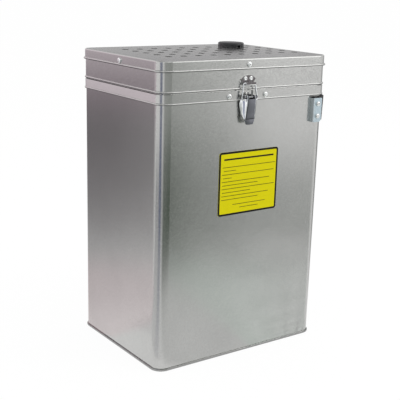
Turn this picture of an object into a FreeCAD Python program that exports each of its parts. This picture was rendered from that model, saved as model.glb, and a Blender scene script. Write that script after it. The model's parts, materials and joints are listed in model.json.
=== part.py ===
"""Double-walled steel battery cabinet with a hinged, perforated lid and a toggle latch.

Millimetres, +Z up, front towards -Y. The origin is the middle of the flat bottom panel.
"Out" is a distance outwards from the shell's outer face, and is negative towards the inside.
"""
import FreeCAD
import Part
import math
import os

V = FreeCAD.Vector

# Overall size of the shell
width = 332.0
depth = 249.0
corner_radius = 18.5
body_height = 449.9
lid_height = 50.1

# Sheet and clearances
shell_sheet = 1.0
liner_sheet = 0.8
seat_gap = 0.3
close_gap = 0.1
layer_gap = 0.05

# How far a cutter reaches past what it cuts, and how near counts as the same place
past = 1.0
near = 0.01

# Bottom pan with its rolled seam
pan_sheet = 1.0
seam_out = 1.9
seam_height = 4.0
seam_round = 1.2
pan_recess_z = 6.0
pan_flat_inset = 24.0
pan_slope_run = 6.0
pan_flat_radius = 14.0

# Insulation and inner liner
insulation_thickness = 18.0
floor_insulation_thickness = 20.0

# Collar round the mouth
collar_height = 16.1
collar_out = 1.5
collar_bead_out = 2.8
collar_bead_radius = 1.6
ledge_sheet = 1.2
lip_out = -3.2
lip_sheet = 1.0
lip_rise = 12.1

# Lid band, cap and their beads
lid_gap = 1.5
band_out = 0.8
band_sheet = 1.0
band_bead_out = 2.5
band_bead_radius = 1.7
band_flange = 10.0
cap_sheet = 1.0
cap_out = 1.9
cap_skirt = 17.2
cap_bead_out = 4.2
cap_bead_radius = 1.7
cap_edge_round = 2.2

# Vent holes in the cap
hole_radius = 5.75
hole_columns = 10
hole_rows = 5
hole_left_margin = 53.0
hole_right_margin = 20.2
hole_front_margin = 62.6
hole_back_margin = 53.3

# Inside of the lid
gasket_height = 7.7
gasket_out = -1.8
gasket_width = 5.0
lid_pan_sheet = 1.0
lid_pan_flange = 13.0
lid_insulation_thickness = 26.0
filter_left_margin = 28.0
filter_port_gap = 21.0
filter_side_margin = 41.5
filter_frame_height = 18.0
filter_frame_sheet = 1.0
filter_frame_lip = 6.0
filter_corner_radius = 6.0
screen_sheet = 0.8
screen_lap = 8.0
slot_length = 22.0
slot_width = 5.0
slot_columns = 6
slot_rows = 7
slot_pitch_x = 30.0
slot_pitch_y = 17.0
screen_screw_inset = 4.0

# Cable port on the lid
port_right_margin = 59.0
port_back_margin = 56.5
port_cap_radius = 23.5
port_cap_height = 8.0
port_cap_round = 2.5
port_notch_width = 7.5
port_notch_height = 3.8
port_notch_depth = 7.0
port_plug_radius = 14.0
port_plug_length = 16.0
ferrule_sheet = 1.0
ferrule_flange = 4.0

# Fasteners
head_edge_share = 0.4
head_top_share = 0.55
screw_head_radius = 4.3
screw_head_height = 2.6
screw_shank_radius = 2.0
small_head_radius = 2.4
small_head_height = 1.2
small_shank_radius = 1.4
hole_play = 0.05
shank_past = seat_gap / 2
cap_screw_x = -3.5
cap_screw_y = -4.8
cap_screw_drop = 9.2
collar_screw_drop = 8.0
collar_screw_offset = 36.4

# Toggle latch
latch_x = -4.5
lever_sheet = 1.2
lever_pivot_out = 9.5
lever_pivot_drop = 9.9
pivot_pin_radius = 1.6
pivot_play = 0.06
pin_play = 0.02
pivot_head_radius = 2.6
pivot_head_thickness = 1.0
pivot_head_x = 11.8
bail_arm = 5.0
bail_arm_angle = 20.0
bail_radius = 1.3
bail_play = 0.08
bail_foot_x = 15.6
bail_top_x = 11.4
bail_foot_inner_x = 9.6
bail_foot_bend = 2.6
bail_top_bend = 3.0
bail_bar_out = 5.4
bail_bar_rise = 11.6
tip_drop = 44.0
tip_sheet = 1.6
tip_half_top = 10.0
tip_half_bottom = 8.4
tip_round = 4.5
tip_lap = 3.0
tip_proud = 0.2
base_sheet = 1.5
base_half_width = 7.1
base_top_rise = 7.0
base_bottom_drop = 30.0
base_joggle_rise = 3.0
base_joggle_clear = 1.0
base_rivet_head_height = 0.8
ear_sheet = 1.5
ear_lobe_radius = 3.2
ear_side_angle = 20.5
ear_foot_drop = 14.0
ear_lap = 0.5
base_rivet_low_drop = 24.0
base_rivet_high_rise = 4.6
base_rivet_x = 3.6

# Sections of the lever: rise above the pivot, back half width, face half width, back out, face out
lever_sections = [
    (3.0, 11.0, 8.0, 6.6, 13.2),
    (1.0, 12.3, 8.0, 4.7, 14.1),
    (-4.0, 14.6, 8.0, 3.7, 14.4),
    (-11.0, 17.0, 8.1, 3.3, 14.0),
    (-25.0, 14.4, 8.8, 5.2, 12.2),
    (-34.0, 11.6, 9.4, 8.4, 11.0),
]
face_notch_drop = 3.0
face_notch_half = 6.4

# Keeper on the lid band
keeper_sheet = 1.5
keeper_half_width = 14.8
keeper_hook_half_width = 9.4
keeper_top_rise = 23.9
keeper_corner_rise = 18.1
keeper_waist_rise = 10.6
keeper_trough_rise = 9.6
keeper_lip_out = 9.4
keeper_lip_rise = 13.7
keeper_lip_sheet = 1.4
keeper_rivet_x = 5.6
keeper_rivet_rise = 18.7
keeper_head_radius = 3.6
keeper_head_height = 1.1

# Back hinges
hinge_x = 95.0
hinge_length = 60.0
knuckle_radius = 4.0
hinge_pin_radius = 2.0
hinge_play = 0.06
hinge_axis_out = 7.5
hinge_axis_rise = 1.1
leaf_sheet = 2.0
middle_knuckle_half = 11.6
knuckle_gap = 0.4
pin_head_radius = 3.0
pin_head_thickness = 1.0
knuckle_clear = 0.6
web_drop = 2.0
web_rise = 2.2
web_outer_angle = 68.0
lower_web_inner_angle = 210.0
upper_web_inner_angle = 129.0
lower_leaf_drop = 11.3
lower_rivet_drop = 8.3
upper_leaf_rise = 28.1
upper_leaf_foot_rise = 7.3
upper_rivet_rise = 21.1
leaf_rivet_spacing = 20.0
leaf_rivet_head_radius = 2.6
leaf_rivet_head_height = 1.2

# Label panel on the front
label_left_x = -54.7
label_right_x = 66.4
label_height = 105.4
label_drop = 97.2
label_sheet = 0.4
label_radius = 4.5

# Strap handle round the right side
strap_block_left = 30.4
strap_block_right = 14.6
strap_block_out = 6.45
strap_block_taper = 4.0
strap_sheet = 3.2
strap_height = 41.0
strap_drop = 1.8
strap_low_gap = 0.4
strap_high_gap = 1.6
strap_bow = 17.0
strap_cap_left = 32.2
strap_cap_height = 40.5
strap_cap_drop = 3.9
strap_cap_out = 8.25
strap_cap_sheet = 1.5
strap_cap_top_corner = 1.2
strap_cap_low_corner = 5.0
strap_screw_inset = 23.4
strap_screw_high_drop = 13.4
strap_screw_low_drop = 34.0

half_width = width / 2
half_depth = depth / 2
lid_top_z = body_height + lid_height
insulation_out = -(shell_sheet + seat_gap)
insulation_in = insulation_out - insulation_thickness
liner_out = insulation_in - seat_gap
floor_insulation_z = pan_recess_z + seat_gap
liner_floor_z = floor_insulation_z + floor_insulation_thickness + seat_gap
collar_top_z = body_height
collar_bottom_z = collar_top_z - collar_height
collar_screw_z = collar_top_z - collar_screw_drop
ledge_bottom_z = collar_top_z - ledge_sheet
lip_top_z = collar_top_z + lip_rise
liner_flange_top_z = ledge_bottom_z - close_gap
liner_flange_bottom_z = liner_flange_top_z - liner_sheet
band_bottom_z = collar_top_z + lid_gap
cap_bottom_z = lid_top_z - cap_skirt
cap_plate_z = lid_top_z - cap_sheet
cap_screw_z = lid_top_z - cap_screw_drop
band_top_z = cap_plate_z - seat_gap
gasket_bottom_z = lip_top_z + seat_gap
lid_pan_z = gasket_bottom_z + gasket_height
lid_pan_top_z = lid_pan_z + lid_pan_sheet

# Places on the lid's top
first_hole_x = -half_width + hole_left_margin
first_hole_y = -half_depth + hole_front_margin
hole_pitch_x = (width - hole_left_margin - hole_right_margin) / (hole_columns - 1)
hole_pitch_y = (depth - hole_front_margin - hole_back_margin) / (hole_rows - 1)
port_x = half_width - port_right_margin
port_y = half_depth - port_back_margin
filter_left_x = -half_width + filter_left_margin
filter_right_x = port_x - filter_port_gap
filter_x = (filter_left_x + filter_right_x) / 2
filter_length = filter_right_x - filter_left_x
filter_depth = depth - 2 * filter_side_margin

# Heights of the latch, the keeper and the hinges
lever_pivot_z = collar_top_z - lever_pivot_drop
lever_foot_out = lever_pivot_out - bail_arm * math.sin(math.radians(bail_arm_angle))
lever_foot_z = lever_pivot_z - bail_arm * math.cos(math.radians(bail_arm_angle))
bail_bar_z = collar_top_z + bail_bar_rise
tip_bottom_z = lever_pivot_z - tip_drop
base_top_z = lever_pivot_z + base_top_rise
base_bottom_z = lever_pivot_z - base_bottom_drop
base_rivet_low_z = lever_pivot_z - base_rivet_low_drop
base_rivet_high_z = lever_pivot_z + base_rivet_high_rise
keeper_top_z = collar_top_z + keeper_top_rise
keeper_corner_z = collar_top_z + keeper_corner_rise
keeper_waist_z = collar_top_z + keeper_waist_rise
keeper_trough_z = collar_top_z + keeper_trough_rise
keeper_lip_top_z = collar_top_z + keeper_lip_rise
keeper_rivet_z = collar_top_z + keeper_rivet_rise
hinge_axis_z = collar_top_z + hinge_axis_rise
lower_leaf_bottom_z = collar_top_z - lower_leaf_drop
lower_rivet_z = collar_top_z - lower_rivet_drop
upper_leaf_bottom_z = collar_top_z + upper_leaf_foot_rise
upper_leaf_top_z = collar_top_z + upper_leaf_rise
upper_rivet_z = collar_top_z + upper_rivet_rise

# Places of the label and the strap
label_top_z = collar_top_z - label_drop
label_bottom_z = label_top_z - label_height
strap_block_left_x = half_width - strap_block_left
strap_block_right_x = half_width - strap_block_right
strap_top_z = collar_bottom_z - strap_drop
strap_bottom_z = strap_top_z - strap_height
strap_cap_left_x = half_width - strap_cap_left
strap_cap_top_z = collar_bottom_z - strap_cap_drop
strap_cap_bottom_z = strap_cap_top_z - strap_cap_height
strap_screw_x = half_width - strap_screw_inset
strap_screw_high_z = collar_bottom_z - strap_screw_high_drop
strap_screw_low_z = collar_bottom_z - strap_screw_low_drop


def outline(size_x, size_y, radius, z, centre_x=0.0, centre_y=0.0):
    """Closed wire of a rectangle with round corners, level at z."""
    hx = size_x / 2
    hy = size_y / 2
    corners = [(hx, hy, 0), (-hx, hy, 90), (-hx, -hy, 180), (hx, -hy, 270)]
    edges = []
    last = None
    first = None
    for x, y, start in corners:
        cx = centre_x + x - math.copysign(radius, x)
        cy = centre_y + y - math.copysign(radius, y)
        arc = []
        for angle in (start, start + 45, start + 90):
            turn = math.radians(angle)
            arc.append(V(cx + radius * math.cos(turn), cy + radius * math.sin(turn), z))
        if last is None:
            first = arc[0]
        else:
            edges.append(Part.makeLine(last, arc[0]))
        edges.append(Part.Arc(*arc).toShape())
        last = arc[2]
    edges.append(Part.makeLine(last, first))
    return Part.Wire(edges)


def slab(size_x, size_y, radius, z0, z1, centre_x=0.0, centre_y=0.0):
    """Solid with that outline from z0 up to z1."""
    face = Part.Face(outline(size_x, size_y, radius, z0, centre_x, centre_y))
    return face.extrude(V(0, 0, z1 - z0))


def block(out, z0, z1, radius=None):
    """Solid whose sides lie a distance out from the shell's outer face."""
    if radius is None:
        radius = corner_radius + out
    return slab(width + 2 * out, depth + 2 * out, radius, z0, z1)


def ring(out, inner, z0, z1):
    """Band between two distances out from the shell's outer face."""
    return block(out, z0, z1).cut(block(inner, z0 - past, z1 + past))


def bead(out, radius, z, inner):
    """Rolled round bead that reaches out to a distance, cut flat on its inner side."""
    middle = out - radius
    path = outline(width + 2 * middle, depth + 2 * middle, corner_radius + middle, z)
    start = V(half_width + middle, half_depth - corner_radius, z)
    section = Part.Face(Part.Wire(Part.makeCircle(radius, start, V(0, 1, 0))))
    tube = path.makePipe(section)
    return tube.cut(block(inner, z - 2 * radius, z + 2 * radius))


def box(x0, x1, y0, y1, z0, z1):
    """Plain box between two corners."""
    return Part.makeBox(x1 - x0, y1 - y0, z1 - z0, V(x0, y0, z0))


def polygon_x(points, x0, x1, side=-1):
    """Extrude a profile of (out, z) points along X, on the front (-1) or the back (1)."""
    corners = [V(x0, side * (half_depth + out), z) for out, z in points]
    face = Part.Face(Part.makePolygon(corners + corners[:1]))
    return face.extrude(V(x1 - x0, 0, 0))


def bar_x(radius, out, z, x0, x1, side=-1):
    """Round bar along X at a distance out from the front or the back."""
    return Part.makeCylinder(radius, x1 - x0, V(x0, side * (half_depth + out), z), V(1, 0, 0))


def joined(shapes):
    """One solid from several that touch, with the seams between flat faces cleaned away."""
    whole = shapes[0]
    for shape in shapes[1:]:
        whole = whole.fuse(shape)
    return whole.removeSplitter()


def folded(path, sheet):
    """Closed profile of a folded sheet: a path of (out, z) points going up, and its offset outwards."""
    normals = []
    for (out0, z0), (out1, z1) in zip(path, path[1:]):
        length = math.hypot(out1 - out0, z1 - z0)
        normals.append(((z1 - z0) / length, (out0 - out1) / length))
    offset = []
    for point, before, after in zip(path, normals[:1] + normals, normals + normals[-1:]):
        share = sheet / (1 + before[0] * after[0] + before[1] * after[1])
        offset.append((point[0] + share * (before[0] + after[0]), point[1] + share * (before[1] + after[1])))
    return path + offset[::-1]


def fastener(head_radius, head_height, shank_radius, shank_length):
    """Low round head on z = 0 that slopes in to a flat top, and a shank below it."""
    edge = head_height * head_edge_share
    top_radius = head_radius * head_top_share
    corners = [(0, -shank_length), (shank_radius, -shank_length), (shank_radius, 0), (head_radius, 0),
               (head_radius, edge), (top_radius, head_height), (0, head_height)]
    points = [V(radius, 0, height) for radius, height in corners]
    profile = Part.Face(Part.makePolygon(points + points[:1]))
    return profile.revolve(V(0, 0, 0), V(0, 0, 1), 360)


def facing(shape, x, y, z, direction):
    """Turn a shape's +Z to a direction and set its origin at a point."""
    turn = FreeCAD.Rotation(V(0, 0, 1), V(*direction))
    placed = shape.copy()
    placed.Placement = FreeCAD.Placement(V(x, y, z), turn)
    return placed


def drilled(shape, radius, points, direction):
    """Cut round holes through a thin wall at points, along a direction."""
    reach = 6.0
    for x, y, z in points:
        start = V(x, y, z) - V(*direction) * reach
        shape = shape.cut(Part.makeCylinder(radius, 2 * reach, start, V(*direction)))
    return shape


def front_points(xs, zs, out):
    """Points on the front at a distance out, for each pair of x and z."""
    return [(x, -half_depth - out, z) for x, z in zip(xs, zs)]


def collar_screw_xs():
    """The two collar screws stand evenly beside the latch."""
    return (latch_x - collar_screw_offset, latch_x + collar_screw_offset)


# Cabinet shell, pan, insulation and liner

def base_rivet_points(out):
    """Four rivets that hold the latch base."""
    xs = [latch_x - base_rivet_x, latch_x + base_rivet_x] * 2
    zs = [base_rivet_low_z] * 2 + [base_rivet_high_z] * 2
    return front_points(xs, zs, out)


def strap_screw_points(side, out):
    """Two screws of one strap cap, on the front (-1) or the back (1)."""
    y = side * (half_depth + out)
    return [(strap_screw_x, y, strap_screw_low_z), (strap_screw_x, y, strap_screw_high_z)]


def back_collar_screw_points(out):
    """Two collar screws on the back, between the hinges."""
    return [(x, half_depth + out, collar_screw_z) for x in (-collar_screw_offset, collar_screw_offset)]


def front_collar_screw_points(out):
    """Two collar screws on the front."""
    return front_points(collar_screw_xs(), (collar_screw_z,) * 2, out)


def leaf_rivet_points(z, out):
    """Rivets of the two hinge leaves at one height."""
    points = []
    for middle in (-hinge_x, hinge_x):
        for step in (-1, 1):
            points.append((middle + step * leaf_rivet_spacing, half_depth + out, z))
    return points


def make_outer_shell():
    """Tube of sheet steel, open at both ends."""
    shell = ring(0, -shell_sheet, pan_sheet + layer_gap, ledge_bottom_z - layer_gap)
    along_y = (0, 1, 0)
    screw_holes = front_collar_screw_points(0) + back_collar_screw_points(0)
    for side in (-1, 1):
        screw_holes += strap_screw_points(side, 0)
    shell = drilled(shell, screw_shank_radius + hole_play, screw_holes, along_y)
    rivet_holes = base_rivet_points(0) + leaf_rivet_points(lower_rivet_z, 0)
    return drilled(shell, small_shank_radius + hole_play, rivet_holes, along_y)


def make_bottom_pan():
    """Pressed pan: rolled seam, raised border and a flat middle that stands on the floor."""
    wall_out = -(shell_sheet + layer_gap)
    wall_in = wall_out - pan_sheet
    seam = ring(seam_out, layer_gap, 0, seam_height)
    low = [edge for edge in seam.Edges if edge.BoundBox.ZMax < near]
    outer_low = [edge for edge in low if on_outline(edge, seam_out)]
    high = [edge for edge in seam.Edges if edge.BoundBox.ZMin > seam_height - near]
    outer_high = [edge for edge in high if on_outline(edge, seam_out)]
    seam = seam.makeFillet(seam_round, outer_low + outer_high)
    web = ring(seam_out - seam_round, wall_in, 0, pan_sheet)
    wall = ring(wall_out, wall_in, 0, pan_recess_z)
    border_z = pan_recess_z - pan_sheet
    flat_out = -pan_flat_inset
    low_out = -(pan_flat_inset + pan_slope_run)
    border = block(wall_out, border_z, pan_recess_z)
    border = border.cut(Part.Face(pan_outline(flat_out, 0)).extrude(V(0, 0, pan_recess_z + past)))
    slope = slope_ring(flat_out, low_out, border_z)
    middle = Part.Face(pan_outline(low_out + layer_gap, 0)).extrude(V(0, 0, pan_sheet))
    return joined([seam, web, wall, border, slope, middle])


def slope_ring(high_out, low_out, rise):
    """Sloping sheet between the pan's raised border and its flat middle."""
    solids = []
    for shift in (0.0, pan_sheet):
        high = pan_outline(high_out + pan_sheet - shift, rise + pan_sheet)
        low = pan_outline(low_out + pan_sheet - shift, 0)
        solids.append(Part.makeLoft([low, high], True, True))
    return solids[0].cut(solids[1])


def pan_outline(out, z):
    """Outline in the pan's floor, with corners that stay concentric as it moves in."""
    return outline(width + 2 * out, depth + 2 * out, pan_flat_radius + pan_flat_inset + out, z)


def on_outline(edge, out):
    """True where an edge lies on the outline at a distance out."""
    box_of = edge.BoundBox
    hx = half_width + out
    hy = half_depth + out
    if box_of.XLength > near and box_of.YLength > near:
        reach_x = max(abs(box_of.XMin), abs(box_of.XMax))
        return abs(reach_x - hx) < near
    if box_of.XLength > near:
        return abs(abs(box_of.YMin) - hy) < near
    return abs(abs(box_of.XMin) - hx) < near


def make_insulation_walls():
    """Front, back, left and right boards between the shell and the liner."""
    z0 = floor_insulation_z
    z1 = liner_flange_bottom_z - seat_gap
    outer = block(insulation_out, z0, z1)
    hx = half_width + insulation_out
    hy = half_depth + insulation_out
    inner_y = half_depth + insulation_in
    inner_x = half_width + insulation_in
    side_y = inner_y - seat_gap
    boards = {
        "insulation_front": outer.common(box(-hx, hx, -hy, -inner_y, z0, z1)),
        "insulation_back": outer.common(box(-hx, hx, inner_y, hy, z0, z1)),
        "insulation_left": box(-hx, -inner_x, -side_y, side_y, z0, z1),
        "insulation_right": box(inner_x, hx, -side_y, side_y, z0, z1),
    }
    return boards


def make_insulation_bottom():
    """Board under the liner's floor, inside the four wall boards."""
    hx = half_width + insulation_in - seat_gap
    hy = half_depth + insulation_in - seat_gap
    return box(-hx, hx, -hy, hy, floor_insulation_z, floor_insulation_z + floor_insulation_thickness)


def make_liner():
    """Inner tub: four folded panels, whose rims turn out over the insulation, and a flat floor."""
    inner_x = half_width + liner_out - liner_sheet
    inner_y = half_depth + liner_out - liner_sheet
    wall_x = half_width + liner_out
    wall_y = half_depth + liner_out
    rim_x = half_width + insulation_out
    rim_y = half_depth + insulation_out
    side_y = inner_y - layer_gap
    rim_z = liner_flange_bottom_z
    top_z = liner_flange_top_z
    rim = block(insulation_out, rim_z, top_z)
    front = box(-wall_x, wall_x, -wall_y, -inner_y, liner_floor_z, top_z)
    front_rim = rim.common(box(-rim_x, rim_x, -rim_y, -inner_y, rim_z, top_z))
    back = box(-wall_x, wall_x, inner_y, wall_y, liner_floor_z, top_z)
    back_rim = rim.common(box(-rim_x, rim_x, inner_y, rim_y, rim_z, top_z))
    left = box(-wall_x, -inner_x, -side_y, side_y, liner_floor_z, top_z)
    left_rim = box(-rim_x, -inner_x, -side_y, side_y, rim_z, top_z)
    right = box(inner_x, wall_x, -side_y, side_y, liner_floor_z, top_z)
    right_rim = box(inner_x, rim_x, -side_y, side_y, rim_z, top_z)
    floor_x = inner_x - layer_gap
    floor_y = side_y
    panels = {
        "inner_liner_front": joined([front, front_rim]),
        "inner_liner_back": joined([back, back_rim]),
        "inner_liner_left": joined([left, left_rim]),
        "inner_liner_right": joined([right, right_rim]),
        "inner_liner_floor": box(-floor_x, floor_x, -floor_y, floor_y, liner_floor_z,
                                 liner_floor_z + liner_sheet),
    }
    return panels


def make_collar():
    """Band round the mouth: rolled bead below, ledge over the shell's edge, upright lip."""
    skirt = ring(collar_out, layer_gap, collar_bottom_z + collar_bead_radius, collar_top_z)
    ledge = ring(collar_out, lip_out - lip_sheet, ledge_bottom_z, collar_top_z)
    lip = ring(lip_out, lip_out - lip_sheet, ledge_bottom_z, lip_top_z)
    roll = bead(collar_bead_out, collar_bead_radius, collar_bottom_z + collar_bead_radius, layer_gap)
    collar = joined([skirt, ledge, lip, roll])
    along_y = (0, 1, 0)
    screws = front_collar_screw_points(0) + back_collar_screw_points(0)
    collar = drilled(collar, screw_shank_radius + hole_play, screws, along_y)
    rivets = base_rivet_points(0)[2:] + leaf_rivet_points(lower_rivet_z, 0)
    return drilled(collar, small_shank_radius + hole_play, rivets, along_y)


def make_collar_screws():
    """Four pan-head screws that hold the collar to the shell."""
    length = collar_out + shell_sheet + shank_past
    screw = fastener(screw_head_radius, screw_head_height, screw_shank_radius, length)
    solids = [facing(screw, *point, (0, -1, 0)) for point in front_collar_screw_points(collar_out)]
    solids += [facing(screw, *point, (0, 1, 0)) for point in back_collar_screw_points(collar_out)]
    return Part.makeCompound(solids)


def make_label_panel():
    """Thin panel with round corners on the front."""
    size_x = label_right_x - label_left_x
    size_z = label_top_z - label_bottom_z
    panel = slab(size_x, size_z, label_radius, 0, label_sheet)
    centre_x = (label_left_x + label_right_x) / 2
    centre_z = (label_bottom_z + label_top_z) / 2
    return facing(panel, centre_x, -half_depth - layer_gap, centre_z, (0, -1, 0))


# Strap handle

def strap_profile(gap, z):
    """Outline of the strap at one height: end blocks, tight corners and a bowed grip."""
    inner_front = -half_depth - strap_low_gap
    inner_corner = corner_radius + gap
    outer_corner = inner_corner + strap_sheet
    cx = half_width - corner_radius
    cy = -half_depth + corner_radius
    diagonal = math.radians(-45)
    block_y = -half_depth - strap_block_out
    half = []
    half.append(("line", (strap_block_left_x, inner_front), (strap_block_left_x, block_y)))
    taper_x = strap_block_right_x - strap_block_taper
    half.append(("line", (strap_block_left_x, block_y), (taper_x, block_y)))
    top_corner = (cx, cy - outer_corner)
    half.append(("line", (taper_x, block_y), top_corner))
    middle = (cx + outer_corner * math.cos(diagonal), cy + outer_corner * math.sin(diagonal))
    side = (cx + outer_corner, cy)
    half.append(("arc", top_corner, middle, side))
    crown = (half_width + gap + strap_sheet + strap_bow, 0)
    flip = [mirrored(piece) for piece in reversed(half)]
    inner_side = (cx + inner_corner, cy)
    inner_crown = (half_width + gap + strap_bow, 0)
    inner_middle = (cx + inner_corner * math.cos(diagonal), cy + inner_corner * math.sin(diagonal))
    inner_top = (cx, cy - inner_corner)
    edges = [edge_at(piece, z) for piece in half]
    edges.append(edge_at(("arc", side, crown, (side[0], -side[1])), z))
    edges += [edge_at(piece, z) for piece in flip]
    inner_half = [("line", (strap_block_left_x, -inner_front), (inner_top[0], -inner_top[1]))]
    inner_half.append(("arc", (inner_top[0], -inner_top[1]), (inner_middle[0], -inner_middle[1]),
                       (inner_side[0], -inner_side[1])))
    edges += [edge_at(piece, z) for piece in inner_half]
    edges.append(edge_at(("arc", (inner_side[0], -inner_side[1]), inner_crown, inner_side), z))
    edges += [edge_at(mirrored(piece), z) for piece in reversed(inner_half)]
    return Part.Wire(edges)


def mirrored(piece):
    """The same piece of outline on the other side of y = 0, run backwards."""
    kind = piece[0]
    return (kind,) + tuple((x, -y) for x, y in reversed(piece[1:]))


def edge_at(piece, z):
    """Edge at one height from a piece of outline."""
    points = [V(x, y, z) for x, y in piece[1:]]
    if piece[0] == "line":
        return Part.makeLine(*points)
    return Part.Arc(*points).toShape()


def make_strap_handle():
    """Rubber strap that wraps both right-hand corners and bows out for the fingers."""
    low = strap_profile(strap_low_gap, strap_bottom_z)
    high = strap_profile(strap_high_gap, strap_top_z)
    strap = Part.makeLoft([low, high], True, True)
    for side in (-1, 1):
        holes = strap_screw_points(side, strap_block_out / 2)
        strap = drilled(strap, screw_shank_radius + hole_play, holes, (0, 1, 0))
    return strap


def make_strap_cap(side):
    """Folded plate over one end of the strap: a face and one side wall."""
    inner = strap_cap_out - strap_cap_sheet
    face_right_x = strap_block_right_x
    profile = [(strap_cap_left_x, layer_gap), (strap_cap_left_x, strap_cap_out)]
    profile += [(face_right_x, strap_cap_out), (face_right_x, inner)]
    profile += [(strap_cap_left_x + strap_cap_sheet, inner), (strap_cap_left_x + strap_cap_sheet, layer_gap)]
    corners = [V(x, side * (half_depth + out), strap_cap_bottom_z) for x, out in profile]
    plate = Part.Face(Part.makePolygon(corners + corners[:1]))
    plate = plate.extrude(V(0, 0, strap_cap_top_z - strap_cap_bottom_z))
    fold = [edge for edge in plate.Edges
            if edge.BoundBox.ZLength > near and abs(edge.BoundBox.XMin - strap_cap_left_x) < near
            and abs(abs(edge.BoundBox.YMin) - half_depth - strap_cap_out) < near]
    plate = plate.makeFillet(strap_cap_sheet, fold)
    corners = [(strap_cap_top_z, strap_cap_top_corner), (strap_cap_bottom_z, strap_cap_low_corner)]
    for corner_z, radius in corners:
        far = [edge for edge in plate.Edges
               if edge.BoundBox.YLength > near and abs(edge.BoundBox.XMin - face_right_x) < near
               and abs(edge.BoundBox.ZMin - corner_z) < near]
        plate = plate.makeFillet(radius, far)
    holes = strap_screw_points(side, strap_cap_out)
    return drilled(plate, screw_shank_radius + hole_play, holes, (0, 1, 0))


def make_strap_screws():
    """Two screws through each strap cap and the strap's end block."""
    length = strap_cap_out + shell_sheet + shank_past
    screw = fastener(screw_head_radius, screw_head_height, screw_shank_radius, length)
    solids = []
    for side in (-1, 1):
        for point in strap_screw_points(side, strap_cap_out):
            solids.append(facing(screw, *point, (0, side, 0)))
    return Part.makeCompound(solids)


# Toggle latch

def make_latch_base():
    """Joggled plate over the collar's bead, with two ears that carry the lever's pin."""
    high_out = collar_out + layer_gap
    over_bead = collar_bead_out + close_gap
    bead_top = collar_bottom_z + 2 * collar_bead_radius + seat_gap
    low_out = layer_gap
    joggle_top = collar_bottom_z - base_joggle_clear
    joggle_foot = joggle_top - base_joggle_rise
    path = [(low_out, base_bottom_z), (low_out, joggle_foot), (over_bead, joggle_top), (over_bead, bead_top),
            (high_out, bead_top + base_joggle_clear), (high_out, base_top_z)]
    left = latch_x - base_half_width
    right = latch_x + base_half_width
    plate = polygon_x(folded(path, base_sheet), left, right)
    side_angle = math.radians(ear_side_angle)
    lobe_reach = ear_lobe_radius * math.cos(side_angle)
    lobe_low = lever_pivot_z - ear_lobe_radius * math.sin(side_angle)
    ear_points = [
        (low_out + ear_lap, collar_bottom_z - ear_foot_drop), (lever_pivot_out + lobe_reach, lobe_low),
        (lever_pivot_out, lever_pivot_z), (lever_pivot_out - lobe_reach, lobe_low),
        (over_bead + ear_lap, bead_top - base_joggle_clear), (over_bead + ear_lap, joggle_top),
        (low_out + ear_lap, joggle_foot),
    ]
    shapes = [plate]
    for start in (left, right - ear_sheet):
        ear = polygon_x(ear_points, start, start + ear_sheet)
        lobe = bar_x(ear_lobe_radius, lever_pivot_out, lever_pivot_z, start, start + ear_sheet)
        shapes += [ear, lobe]
    base = joined(shapes)
    bore = bar_x(pivot_pin_radius + pin_play, lever_pivot_out, lever_pivot_z, left - past, right + past)
    base = base.cut(bore)
    return drilled(base, small_shank_radius + hole_play, base_rivet_points(0), (0, 1, 0))


def make_latch_base_rivets():
    """Four rivets through the latch base: the lower two in the shell, the upper two in the collar."""
    face_out = layer_gap + base_sheet
    low_points = base_rivet_points(face_out)[:2]
    high_points = base_rivet_points(collar_out + face_out)[2:]
    length = face_out + shell_sheet + shank_past
    solids = []
    for extra, points in ((0, low_points), (collar_out, high_points)):
        rivet = fastener(small_head_radius, base_rivet_head_height, small_shank_radius, length + extra)
        solids += [facing(rivet, *point, (0, -1, 0)) for point in points]
    return Part.makeCompound(solids)


def make_latch_pivot_pin():
    """Pin through the base's ears and the lever, headed at both ends."""
    shaft = bar_x(pivot_pin_radius, lever_pivot_out, lever_pivot_z,
                  latch_x - pivot_head_x, latch_x + pivot_head_x)
    heads = []
    for start in (latch_x - pivot_head_x - pivot_head_thickness, latch_x + pivot_head_x):
        heads.append(bar_x(pivot_head_radius, lever_pivot_out, lever_pivot_z,
                           start, start + pivot_head_thickness))
    return joined([shaft] + heads)


def lever_section(rise, back_half, face_half, back_out, face_out, inset):
    """Four corners of the lever's cross section above its pivot, moved in by the sheet if inset."""
    height = lever_pivot_z + rise
    if inset:
        slope = math.hypot(back_half - face_half, face_out - back_out)
        side = lever_sheet * slope / (face_out - back_out)
        back_half -= side
        face_half -= side
        lean = (back_half - face_half) / (face_out - back_out)
        face_out -= lever_sheet
        face_half += lean * lever_sheet
        back_half += lean * past
        back_out -= past
    y_back = -half_depth - back_out
    y_face = -half_depth - face_out
    corners = [V(latch_x - back_half, y_back, height), V(latch_x - face_half, y_face, height)]
    corners += [V(latch_x + face_half, y_face, height), V(latch_x + back_half, y_back, height)]
    return Part.makePolygon(corners + corners[:1])


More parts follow.
